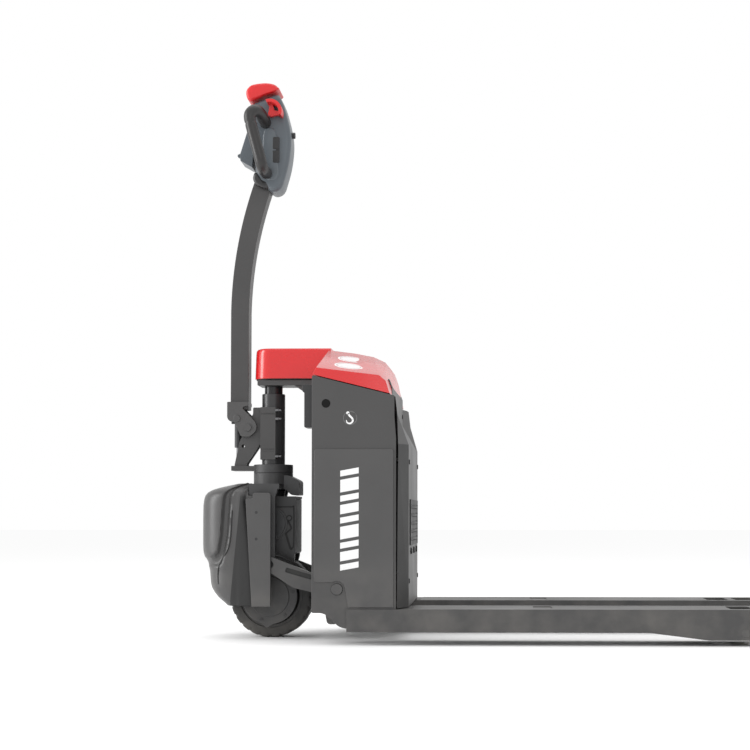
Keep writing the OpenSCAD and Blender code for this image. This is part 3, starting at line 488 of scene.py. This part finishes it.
def flank(x, z):
    """Half width of the hood and the depth of its trough at a place on the flank."""
    left = -65 - 26 * (361 - z) / 269
    right = -51 + 16 * (351 - z) / 269
    half = 118 - 9 * min(1.0, max(0.0, (x - left) / (right - left)))
    edge = along([(200, -134), (225, -125), (260, -119), (345, -113)], z)
    reach = min(edge - x, z - 207) - 5 * max(0.0, 1 - abs((edge - x) - (z - 207)) / 14)
    trough = 11 * ease(-27, -17, reach) * (1 - ease(-9, 0, reach)) * ease(395, 362, z)
    return half - 2.5 * ease(-4, -16, reach) * ease(-66, -76, x), trough


def hood_point(x_start, t, z, shrink=1.0):
    """A place on the hood: t runs from -1 at the tail to 0 at the waist and 1 at the nose."""
    reach = along(nose_reach, min(z, crest_z))
    if t < 0:
        x, turn = x_start + (waist_x - x_start) * (t + 1), 0.0
    else:
        turn = math.radians(90 * t)
        x = waist_x - (reach + waist_x) * math.sin(turn) ** 0.74
    half, trough = flank(x, min(z, crest_z))
    y = half * math.cos(turn) ** 0.62 if t >= 0 else half
    x += 0.25 * trough * math.sin(turn) * math.cos(turn)
    y -= trough * math.cos(turn) ** 0.5
    x, y = x * shrink, y * (0.25 * shrink + 0.75 * shrink ** 0.75)
    return at(min(x, -47 if z > 358 else -30), -max(0.0, y), z)


columns = [-1 + k / 8 for k in range(8)] + [k / 60 for k in range(61)]
crest_heights = [(share, z) for share, shrink, z in crest]
crest_shrinks = [(share, shrink) for share, shrink, z in crest]
rows = [(rim_z + (crest_z - rim_z) * k / 86, 1.0) for k in range(87)]
rows += [(along(crest_heights, k / 16), along(crest_shrinks, k / 16)) for k in range(1, 17)]
verts, faces = [], []
for z, shrink in rows:
    line = [hood_point(tail_x, t, z, shrink) for t in columns]
    line += [Vector((p.x, -p.y, p.z)) for p in reversed(line[:-1])]
    verts += line
wide = 2 * len(columns) - 1
for i in range(len(rows) - 1):
    for k in range(wide - 1):
        faces.append((i * wide + k, i * wide + k + 1, (i + 1) * wide + k + 1, (i + 1) * wide + k))
hood = from_faces("drive_cover_hood", verts, faces)
front = max(hood.data.polygons, key=lambda face: -face.center.x)
if front.normal.x > 0:
    hood.data.flip_normals()
wall = hood.modifiers.new("wall", "SOLIDIFY")
wall.thickness = 0.003
wall.offset = -1
settle(hood, cover_plastic, "carrier", sharp=42)
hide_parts("drive_cover")


def prism(name, outline, low, high, arc=6):
    """A plate cut in the XZ plane; each outline point may carry a corner radius. Millimetres."""
    flat = []
    count = len(outline)
    for i, point in enumerate(outline):
        p = Vector(point[:2])
        r = point[2] if len(point) > 2 else 0
        if not r:
            flat.append(p)
            continue
        a = (Vector(outline[i - 1][:2]) - p).normalized()
        b = (Vector(outline[(i + 1) % count][:2]) - p).normalized()
        half = math.acos(max(-1, min(1, a.dot(b)))) / 2
        centre = p + (a + b).normalized() * (r / math.sin(half))
        first = p + a * (r / math.tan(half)) - centre
        last = p + b * (r / math.tan(half)) - centre
        start = math.atan2(first.y, first.x)
        turn = (math.atan2(last.y, last.x) - start + 3 * math.pi) % (2 * math.pi) - math.pi
        angles = [start + turn * k / arc for k in range(arc + 1)]
        flat += [centre + r * Vector((math.cos(a), math.sin(a))) for a in angles]
    n = len(flat)
    verts = [at(p.x, y, p.y) for y in (low, high) for p in flat]
    faces = [tuple(range(n)), tuple(range(2 * n - 1, n - 1, -1))]
    faces += bands(n, 2)
    return from_faces(name, verts, faces)


def both_sides(obj):
    """Adds the mirror image across the middle plane to a mesh."""
    work = bmesh.new()
    work.from_mesh(obj.data)
    copy = bmesh.ops.duplicate(work, geom=work.verts[:] + work.edges[:] + work.faces[:])["geom"]
    for v in copy:
        if isinstance(v, bmesh.types.BMVert):
            v.co.y = -v.co.y
    bmesh.ops.reverse_faces(work, faces=[f for f in copy if isinstance(f, bmesh.types.BMFace)])
    work.to_mesh(obj.data)
    work.free()
    return obj


skirt_outline = [(12, 83), (12, 366, 7), (-33, 366, 7), (-33, 352, 2), (-51, 351, 4), (-35, 83)]
skirts = both_sides(prism("drive_cover_skirts", skirt_outline, -124.9, -119))
settle(skirts, panel_paint, "carrier", 0.0012)

groove_points = [(-86, 322), (-87, 300), (-89, 262), (-93, 234), (-102, 214), (-114, 196), (-121, 180),
                 (-123, 160), (-122, 138)]


def on_flank(x, z, proud):
    """The hood's own surface at a place seen square on to the flank."""
    low, high = 0.0, 1.0
    for _ in range(30):
        t = (low + high) / 2
        if hood_point(tail_x, t, z).x > at(x, 0, 0).x:
            low = t
        else:
            high = t
    point = hood_point(tail_x, low, z)
    return Vector((point.x, point.y - proud / 1000, point.z))


# The groove is a near-black line laid just proud of the hood: painted shade for the groove's hollow.
groove_path = rounded_path([on_flank(x, z, 0.2) for x, z in groove_points], 5)
groove = both_sides(tube("drive_cover_groove_shade", groove_path, 0.0016, 8))
settle(groove, black_sealant_and_shade, "carrier")

# ---- Red top cover -------------------------------------------------------------------------------
# A glossy red moulding: a ridged roof over the battery box, run together with a
# round cap that covers the head of the lift cylinder, with a black ring under it
# that is painted shade beneath the cap's lip.


def hull(name, points):
    """The convex solid round a set of points in millimetres."""
    mesh = bpy.data.meshes.new(name)
    work = bmesh.new()
    for p in points:
        work.verts.new(at(*p))
    bmesh.ops.convex_hull(work, input=work.verts)
    bmesh.ops.delete(work, geom=[v for v in work.verts if not v.link_faces], context="VERTS")
    bmesh.ops.dissolve_limit(work, angle_limit=math.radians(2), verts=work.verts, edges=work.edges)
    bmesh.ops.recalc_face_normals(work, faces=work.faces)
    work.to_mesh(mesh)
    work.free()
    obj = bpy.data.objects.new(name, mesh)
    scene.collection.objects.link(obj)
    return obj


red_gloss = worn("red_gloss", (0.56, 0.010, 0.012), 0.27, grain=700, depth=0.06, coat=0.35, coat_rough=0.12,
                 scratches=0.25, scratch_tint=1.35, mottle=0.03)
ridge_half, eave_half, lip_half = 52, 263, 269
ridge_line = [(148, 729), (216, 720), (262, 711)]
eave_line = [(141, 664), (292, 645)]
roof_points = []
for side in (-1, 1):
    roof_points += [(x, side * ridge_half, z) for x, z in ridge_line + [(292, 697), (309, 676), (318, 651)]]
    roof_points += [(x, side * eave_half, z) for x, z in eave_line + [(308, 632), (315, 610)]]
    roof_points += [(x, side * lip_half, z) for x, z in [(133.5, 647), (318, 601)]]
    roof_points += [(134, side * 100, 650), (320, side * 150, 602)]
roof = hull("top_cover_roof", roof_points)
settle(roof, red_gloss, "chassis", 0.009, 5, 50)
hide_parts("top_cover")


def stadium(radius, z, far, steps=28):
    """A level ring: a half circle round the steering axis, with straight sides back to far."""
    ring = [(radius * math.cos(math.radians(a)), radius * math.sin(math.radians(a)), z)
            for a in (90 + 180 * k / steps for k in range(steps + 1))]
    return ring + [(far, -radius, z), (far, radius, z)]


def stacked(name, rings):
    """A solid between rings of equal count, closed at both ends."""
    n = len(rings[0])
    verts = [at(*p) for ring in rings for p in ring]
    faces = [tuple(range(n)), tuple(range((len(rings) - 1) * n, len(rings) * n))]
    faces += bands(n, len(rings))
    return from_faces(name, verts, faces)


cap_rings = [(44.0, 658.2, 150), (46.6, 658.2, 152), (46.9, 659.5, 152), (46.0, 690, 152), (44.9, 722, 152),
             (44.3, 728, 152), (43.0, 732, 152), (40.6, 734.6, 152), (37.5, 735.6, 152)]
cap = stacked("top_cover_cap", [stadium(r, z, far) for r, z, far in cap_rings])
settle(cap, red_gloss, "chassis", sharp=50)
# The black ring under the cap is painted shade for the underside of its lip.
lip_shade_rings = [(43.2, 655.6), (43.8, 656.2), (43.8, 658.6)]
cap_lip_shade = stacked("top_cover_lip_shade", [stadium(r, z, 131) for r, z in lip_shade_rings])
settle(cap_lip_shade, black_sealant_and_shade, "chassis")

# ---- Labels on the roof --------------------------------------------------------------------------
# Two white vinyl ovals, blank but for a thin printed ring inside the edge, are
# stuck side by side on one slope of the roof.

label_white = worn("label_white", (0.80, 0.74, 0.74), 0.35, grain=500, depth=0.04, scratches=0.2,
                   scratch_tint=0.8, mottle=0.02)
label_print = worn("label_print", (0.50, 0.42, 0.42), 0.4, grain=500, depth=0.02, scratches=0.0)


def on_roof(x, y, proud=0.0):
    """The roof's slope between its ridge and its eave, at a place in plan."""
    ridge = along(ridge_line, x)
    eave = along(eave_line, x)
    share = (abs(y) - ridge_half) / (eave_half - ridge_half)
    return at(x, y, ridge + (eave - ridge) * share + proud)


def oval(name, x, y, rx, ry, finish, proud, inner=0.0):
    """A thin oval on the roof's slope, or a ring where inner is the share of it left open."""
    count = 72
    verts, faces = [], []
    for share in (inner, 1.0):
        verts += [on_roof(x + rx * share * math.cos(a), y + ry * share * math.sin(a), proud)
                  for a in (2 * math.pi * k / count for k in range(count))]
    verts += [v - Vector((0, 0, 0.0008)) for v in verts]
    if inner:
        hole, rim, hole_foot, rim_foot = (k * count for k in range(4))
        for k in range(count):
            n = (k + 1) % count
            faces.append((hole + k, hole + n, rim + n, rim + k))
            faces.append((rim_foot + k, rim_foot + n, hole_foot + n, hole_foot + k))
            faces.append((hole_foot + k, hole_foot + n, hole + n, hole + k))
            faces.append((rim + k, rim + n, rim_foot + n, rim_foot + k))
    else:
        verts = verts[count:2 * count] + verts[3 * count:]
        faces = [tuple(range(count)), tuple(range(2 * count - 1, count - 1, -1))]
        faces += bands(count, 2)
    obj = from_faces(name, verts, faces)
    settle(obj, finish, "chassis")


label_x = 214
for k, label_y in enumerate([-128, -206]):
    oval("roof_label_%d" % (k + 1), label_x, label_y, 35, 31, label_white, 0.7)
    oval("roof_label_ring_%d" % (k + 1), label_x, label_y, 30, 26, label_print, 1.0, inner=0.93)

# ---- Markings on the flank -----------------------------------------------------------------------
# Cut vinyl on each flank: a column of slanted white bars, and above it a round
# lifting-point sign with a hook.

vinyl = worn("white_vinyl", (0.78, 0.78, 0.78), 0.45, grain=800, depth=0.05, scratches=0.4,
             scratch_tint=0.5, mottle=0.02)


def sticker(name, outlines, y, finish, thick=0.35):
    """Thin plates with outlines in the XZ plane, on both flanks, from y outwards."""
    verts, faces = [], []
    for outline in outlines:
        n, first = len(outline), len(verts)
        verts += [at(x, -y, z) for x, z in outline] + [at(x, -y - thick, z) for x, z in outline]
        faces += [tuple(range(first, first + n)), tuple(range(first + 2 * n - 1, first + n - 1, -1))]
        faces += [tuple(first + corner for corner in face) for face in bands(n, 2)]
    obj = both_sides(from_faces(name, verts, faces))
    settle(obj, finish, "chassis")


bar_tail, bar_front, bar_rise = 201, 245, 8
bar_places = [(178, 14), (200, 22), (230, 14), (252, 30), (290, 14), (312, 22), (342, 14), (364, 30),
              (402, 14)]
bars = []
for low, tall in bar_places:
    bars.append([(bar_tail, low), (bar_front, low + bar_rise),
                 (bar_front, low + tall + bar_rise), (bar_tail, low + tall)])
sticker("flank_bars", bars, 273.05, vinyl)


sign_grey = worn("sign_grey", (0.16, 0.16, 0.16), 0.45, grain=800, depth=0.05)


def circle(x, z, r, n=48):
    return [(x + r * math.cos(2 * math.pi * k / n), z + r * math.sin(2 * math.pi * k / n)) for k in range(n)]


sign_x, sign_z, sign_radius = 224, 542, 16.5
ring = []
for k in range(48):
    a, b = 2 * math.pi * k / 48, 2 * math.pi * (k + 1) / 48
    ring.append([(sign_x + sign_radius * math.cos(turn) * r, sign_z + sign_radius * math.sin(turn) * r)
                 for turn, r in ((a, 1), (b, 1), (b, 0.93), (a, 0.93))])
sticker("hook_sign_ring", ring, 270.05, sign_grey, 0.2)
sticker("hook_sign_field", [circle(sign_x, sign_z, 15.2)], 270.02, dark_paint, 0.1)
hook_points = [(219, 553), (223, 547), (229, 541), (230, 534), (224, 529), (217, 531), (215, 537)]
hook_path = rounded_path([Vector((x, z, 0)) for x, z in hook_points], 6)
hook = []
for i, p in enumerate(hook_path):
    ahead = (hook_path[min(i + 1, len(hook_path) - 1)] - hook_path[max(i - 1, 0)]).normalized()
    share = i / (len(hook_path) - 1)
    hook.append((p, Vector((-ahead.y, ahead.x, 0)) * (2.3 - 1.4 * share ** 3)))
pieces = [[((a + m).x, (a + m).y), ((b + n).x, (b + n).y), ((b - n).x, (b - n).y), ((a - m).x, (a - m).y)]
          for (a, m), (b, n) in zip(hook, hook[1:])]
sticker("hook_sign_hook", [circle(218.5, 554, 3.7, 24)] + pieces, 270.35, vinyl, 0.2)

# ---- Control head --------------------------------------------------------------------------------
# A moulded grey housing on the tiller with a red reversing cap on top, two
# looped hand grips, red throttle wings and a black rocker on each side.


def smooth_outline(points, steps=5):
    """A closed smooth outline in the XZ plane."""
    n = len(points)
    outline = []
    for i in range(n):
        near = [Vector(points[(i + k) % n]) for k in (-1, 0, 1, 2)]
        outline += [tuple(spline(*near, k / steps)) for k in range(steps)]
    return outline


def pillow(name, outline, half, edge, finish, body):
    """A body with the given side outline and half width, rounded towards its edge like a moulding."""
    n = len(outline)
    mid = Vector([(max(p[k] for p in outline) + min(p[k] for p in outline)) / 2 for k in (0, 1)])
    reach = [(max(p[k] for p in outline) - min(p[k] for p in outline)) / 2 for k in (0, 1)]
    rings = []
    for k in range(9):
        a = math.radians(-90 + 90 * k / 8)
        rings.append((edge * (1 - math.cos(a)), -half + edge * (1 + math.sin(a))))
    rings += [(inset, -y) for inset, y in reversed(rings)]
    verts = []
    for inset, y in rings:
        for i in range(n):
            x, z = (mid[k] + (outline[i][k] - mid[k]) * (1 - inset / reach[k]) for k in (0, 1))
            verts.append(at(x, y, z))
    faces = [tuple(range(n)), tuple(range(len(rings) * n - 1, (len(rings) - 1) * n - 1, -1))]
    faces += bands(n, len(rings))
    obj = from_faces(name, verts, faces)
    return settle(obj, finish, body, sharp=60)


head_plastic = worn("head_plastic", (0.078, 0.092, 0.105), 0.36, grain=1500, depth=0.12, scratches=0.2)
pad_plastic = worn("head_pad_plastic", (0.092, 0.107, 0.120), 0.34, grain=1500, depth=0.12, scratches=0.2)
shell_points = [(-57, 1360), (-48, 1366), (-20, 1377), (12, 1388.5), (26, 1368), (35, 1341), (44, 1303),
                (47.5, 1271), (46, 1240), (41, 1207), (33, 1176), (23, 1148), (6, 1138), (-10, 1144),
                (-34, 1166), (-44, 1196), (-46, 1240), (-47, 1290), (-52, 1335)]
shell = pillow("head_housing", smooth_outline(shell_points), 41.8, 13, head_plastic, "tiller")
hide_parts("head_shell", "head_band")
pad_points = [(-22, 1292), (-8, 1303), (6, 1297), (12, 1276), (13, 1240), (17, 1205), (18, 1180), (6, 1166),
              (-16, 1168), (-26, 1190), (-26, 1240)]
pad = pillow("head_side_pad", smooth_outline(pad_points), 43.6, 5, pad_plastic, "tiller")
band_points = [(-44, 1188), (-28, 1168), (-10, 1159), (-8, 1146), (-24, 1147), (-42, 1157), (-50, 1172)]
lower_band = pillow("head_lower_band", smooth_outline(band_points), 41.9, 9, black_moulding, "tiller")
refine("display_pod", head_plastic, 0.003, 4)
cap_points = [(-58, 1371.5), (-22, 1385), (15, 1399.5), (12.5, 1408), (2, 1414.5), (-18, 1417.5), (-44, 1415),
              (-59, 1409), (-68, 1393)]
red_soft = worn("red_moulding", (0.58, 0.016, 0.018), 0.33, grain=1200, depth=0.10, scratches=0.2,
                scratch_tint=1.3, mottle=0.03)
reverser = pillow("reversing_cap", smooth_outline(cap_points), 45.5, 9, red_soft, "reverser")
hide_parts("reverse_button")

grip_rubber = worn("grip_rubber", (0.018, 0.017, 0.017), 0.36, grain=1800, depth=0.3, scratches=0.15)
grip_radius, seam_depth = 0.0148, 0.0016
grip_points = [(-17, 38, 1313.5), (-19, 60, 1318), (-25, 90, 1327.5), (-34, 108, 1328), (-43, 115.5, 1319),
               (-45, 116.5, 1306), (-38, 116.5, 1276), (-30, 116.5, 1246), (-22, 115.5, 1216),
               (-17, 110, 1194), (-15.5, 92, 1184.5), (-14.5, 66, 1184), (-14, 38, 1184)]


def grip_thickness(share):
    """The grip's radius at a share of its length, with a narrow seam near the middle."""
    return grip_radius - seam_depth * ease(0.44, 0.445, share) * (1 - ease(0.455, 0.46, share))


for name, sign in (("left", 1), ("right", -1)):
    path = rounded_path([at(x, sign * y, z) for x, y, z in grip_points], 10)
    grip = tube(name + "_hand_grip", path, grip_thickness, 28)
    if sign > 0:
        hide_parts("hand_grips")
    settle(grip, grip_rubber, "tiller", sharp=50)



def arc_points(x, z, r, degrees):
    return [(x + r * math.cos(math.radians(a)), z + r * math.sin(math.radians(a))) for a in degrees]


wing_x, wing_z = -1, 1335
wing_outline = arc_points(wing_x, wing_z, 30.9, range(-20, 111, 5))
wing_outline += arc_points(wing_x, wing_z, 22, range(110, -21, -10))
wings = both_sides(prism("throttle_wing_pair", wing_outline, -79.5, -44.5))
settle(wings, red_soft, "throttle", 0.0022, 3)
refine("throttle_wings", red_soft, 0.0012)
for side in ("left", "right"):
    refine(side + "_rocker", black_moulding, 0.0012, 3)
refine("horn_button", black_moulding, 0.0016, 3)

# ---- Cable duct ----------------------------------------------------------------------------------
# A black moulded duct stands upright on the front plate, beside one side plate.
# Its head steps out a little further from the plate than the rest.

duct_outline = [(132, 520), (112, 520, 4), (112, 604, 3), (108, 607, 2), (108, 624, 2), (132, 624)]
duct = prism("cable_duct", duct_outline, -256, -206)
settle(duct, black_moulding, "chassis", 0.001)

# ---- Bolts and seals on the gear case ------------------------------------------------------------
# Socket screws stand in a ring round the motor's flange and round the axle's cap,
# a bead of black sealant runs round the case, and a lobed disc closes the hub.

bolt_steel = worn("blackened_steel", (0.040, 0.040, 0.042), 0.34, grain=600, depth=0.15, metallic=0.6)


def bolt_ring(name, centre, radius, count, turn, head, tall, finish, body):
    """Socket screws on a circle in the XZ plane, facing -Y, each with a hexagon recess."""
    tree = bpy.data.node_groups.new(name + "_rings", "GeometryNodeTree")
    sockets = {}
    for label, kind in (("Geometry", "Geometry"), ("Ring Radius", "Float"), ("Screws", "Int"),
                        ("Head Radius", "Float"), ("Head Height", "Float"), ("Finish", "Material")):
        sockets[label] = tree.interface.new_socket(name=label, in_out="INPUT",
                                                   socket_type="NodeSocket" + kind)
    tree.interface.new_socket(name="Geometry", in_out="OUTPUT", socket_type="NodeSocketGeometry")

    def add(kind, **settings):
        made = tree.nodes.new(kind)
        for key, value in settings.items():
            setattr(made, key, value)
        return made

    given, result = add("NodeGroupInput"), add("NodeGroupOutput")
    ring = add("GeometryNodeMeshCircle", fill_type="NONE")
    tree.links.new(given.outputs["Screws"], ring.inputs["Vertices"])
    tree.links.new(given.outputs["Ring Radius"], ring.inputs["Radius"])
    blank = add("GeometryNodeMeshCylinder", fill_type="NGON")
    blank.inputs["Vertices"].default_value = 24
    tree.links.new(given.outputs["Head Radius"], blank.inputs["Radius"])
    tree.links.new(given.outputs["Head Height"], blank.inputs["Depth"])
    recess = add("ShaderNodeMath", operation="MULTIPLY")
    recess.inputs[1].default_value = 0.55
    tree.links.new(given.outputs["Head Radius"], recess.inputs[0])
    socket = add("GeometryNodeMeshCylinder", fill_type="NGON")
    socket.inputs["Vertices"].default_value = 6
    tree.links.new(recess.outputs[0], socket.inputs["Radius"])
    tree.links.new(given.outputs["Head Height"], socket.inputs["Depth"])
    lift = add("ShaderNodeCombineXYZ")
    half = add("ShaderNodeMath", operation="MULTIPLY")
    half.inputs[1].default_value = 0.45
    tree.links.new(given.outputs["Head Height"], half.inputs[0])
    tree.links.new(half.outputs[0], lift.inputs["Z"])
    raised = add("GeometryNodeTransform")
    tree.links.new(socket.outputs["Mesh"], raised.inputs["Geometry"])
    tree.links.new(lift.outputs[0], raised.inputs["Translation"])
    cut = add("GeometryNodeMeshBoolean", operation="DIFFERENCE")
    tree.links.new(blank.outputs["Mesh"], cut.inputs["Mesh 1"])
    tree.links.new(raised.outputs["Geometry"], cut.inputs["Mesh 2"])
    spread = add("GeometryNodeInstanceOnPoints")
    tree.links.new(ring.outputs["Mesh"], spread.inputs["Points"])
    tree.links.new(cut.outputs["Mesh"], spread.inputs["Instance"])
    real = add("GeometryNodeRealizeInstances")
    tree.links.new(spread.outputs["Instances"], real.inputs["Geometry"])
    paint = add("GeometryNodeSetMaterial")
    tree.links.new(real.outputs["Geometry"], paint.inputs["Geometry"])
    tree.links.new(given.outputs["Finish"], paint.inputs["Material"])
    tree.links.new(paint.outputs["Geometry"], result.inputs["Geometry"])

    seed = bpy.data.objects.new(name + "_seed", bpy.data.meshes.new(name + "_seed"))
    scene.collection.objects.link(seed)
    maker = seed.modifiers.new("ring", "NODES")
    maker.node_group = tree
    values = {"Ring Radius": radius / 1000, "Screws": count, "Head Radius": head / 1000,
              "Head Height": tall / 1000, "Finish": finish.material}
    for label, value in values.items():
        maker[sockets[label].identifier] = value
    bpy.context.view_layer.update()
    mesh = bpy.data.meshes.new_from_object(seed.evaluated_get(bpy.context.evaluated_depsgraph_get()))
    bpy.data.objects.remove(seed)
    upright = Matrix.Rotation(math.radians(90), 4, "X") @ Matrix.Rotation(math.radians(turn), 4, "Z")
    mesh.transform(Matrix.Translation(at(*centre)) @ upright)
    obj = bpy.data.objects.new(name, mesh)
    scene.collection.objects.link(obj)
    settle(obj, finish, body)


def ribbon(name, points, y, wide, thick, finish, body):
    """A flat bead along a line in the XZ plane, standing proud of a face that looks towards -Y."""
    line = rounded_path([Vector((x, z, 0)) for x, z in points], 5)
    verts = []
    for i, p in enumerate(line):
        ahead = (line[min(i + 1, len(line) - 1)] - line[max(i - 1, 0)]).normalized()
        side = Vector((-ahead.y, ahead.x, 0)) * wide / 2
        corners = ((side, 0), (side, thick), (-side, thick), (-side, 0))
        verts += [at((p + k).x, y - t, (p + k).y) for k, t in corners]
    last = len(verts) - 1
    faces = bands(4, len(line)) + [(0, 1, 2, 3), (last, last - 1, last - 2, last - 3)]
    obj = from_faces(name, verts, faces)
    settle(obj, finish, body)


case_y = -58.0
motor_z = 289
axle_z = 105
bolt_ring("motor_flange_screws", (0, case_y - 3.9, motor_z), 33, 8, 22.5, 3.2, 3.6, bolt_steel,
          "drive_unit")
beads = {"case_sealant_top": ([(16, 331), (55, 331), (60.5, 326), (60.5, 240), (57, 226)], 3.2),
         "case_sealant_rib": ([(41, 262), (52, 228), (57, 226)], 5),
         "case_gasket": ([(46, 296), (52, 284), (54, 276), (45, 268), (40, 262)], 4)}
for name, (points, wide) in beads.items():
    ribbon(name, points, case_y, wide, 1.2, black_sealant_and_shade, "drive_unit")
port_x, port_z = 49, 303
port = prism("case_port", circle(port_x, port_z, 7.5, 32), case_y - 3, case_y + 0.5)
settle(port, black_sealant_and_shade, "drive_unit", 0.0006)
plug = prism("case_port_plug", circle(port_x, port_z, 5, 32), case_y - 4, case_y - 2.5)
settle(plug, casting, "drive_unit", 0.0006)
flange = prism("motor_flange", circle(0, motor_z, 45, 96), case_y - 2.4, case_y + 0.5)
settle(flange, casting, "drive_unit", 0.0008)
disc_radius, lobe_height = 70, 9
lobed = []
for k in range(144):
    a = 2 * math.pi * k / 144
    lobe = max(0.0, math.cos(3 * a - math.radians(75))) ** 14
    reach = disc_radius + lobe_height * lobe
    lobed.append((reach * math.cos(a), axle_z + reach * math.sin(a)))
disc = prism("hub_closing_disc", lobed, case_y - 3.0, case_y + 0.5)
settle(disc, casting, "drive_unit", 0.0012, 3)
hub_cap = prism("hub_closing_cap", circle(0, axle_z, 50, 96), case_y - 6.0, case_y - 2.5)
settle(hub_cap, casting, "drive_unit", 0.0012, 3)
bolt_ring("hub_disc_screws", (0, case_y - 4.9, axle_z), 61, 6, 10, 3.4, 3.6, bolt_steel,
          "drive_unit")

# ---- Drive tyre ----------------------------------------------------------------------------------
# A solid rubber tyre bonded to the hub, with short moulded notches along both
# shoulders that clear dirt from the tread.

tyre_rubber = worn("tyre_rubber", (0.010, 0.010, 0.010), 0.55, grain=380, depth=0.4, scratches=0.0, dust=0.3)
profile = [(80, -34.9), (86, -34.9), (92, -33.6), (99, -33.8), (103, -32), (104.9, -28.5), (104.9, -19),
           (104.9, 19), (104.9, 28.5), (103, 32), (99, 33.8), (92, 33.6), (86, 34.9), (80, 34.9)]
notch_depth = {28.5: 4.0, 32: 4.0, 33.8: 2.5}
steps = 192
rings = []
for k in range(steps):
    a = 2 * math.pi * k / steps
    notched = k % 8 < 2
    ring = []
    for r, y in profile:
        if notched:
            r -= notch_depth.get(abs(y), 0)
        ring.append((r * math.sin(a), y, axle_z + r * math.cos(a)))
    rings.append(ring)
n = len(profile)
faces = []
for k in range(steps):
    here, there = k * n, ((k + 1) % steps) * n
    faces += [(here + i, here + (i + 1) % n, there + (i + 1) % n, there + i) for i in range(n)]
tyre = from_faces("drive_tyre_tread", [at(*p) for ring in rings for p in ring], faces)
settle(tyre, tyre_rubber, "drive_wheel", sharp=40)
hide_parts("drive_tyre")
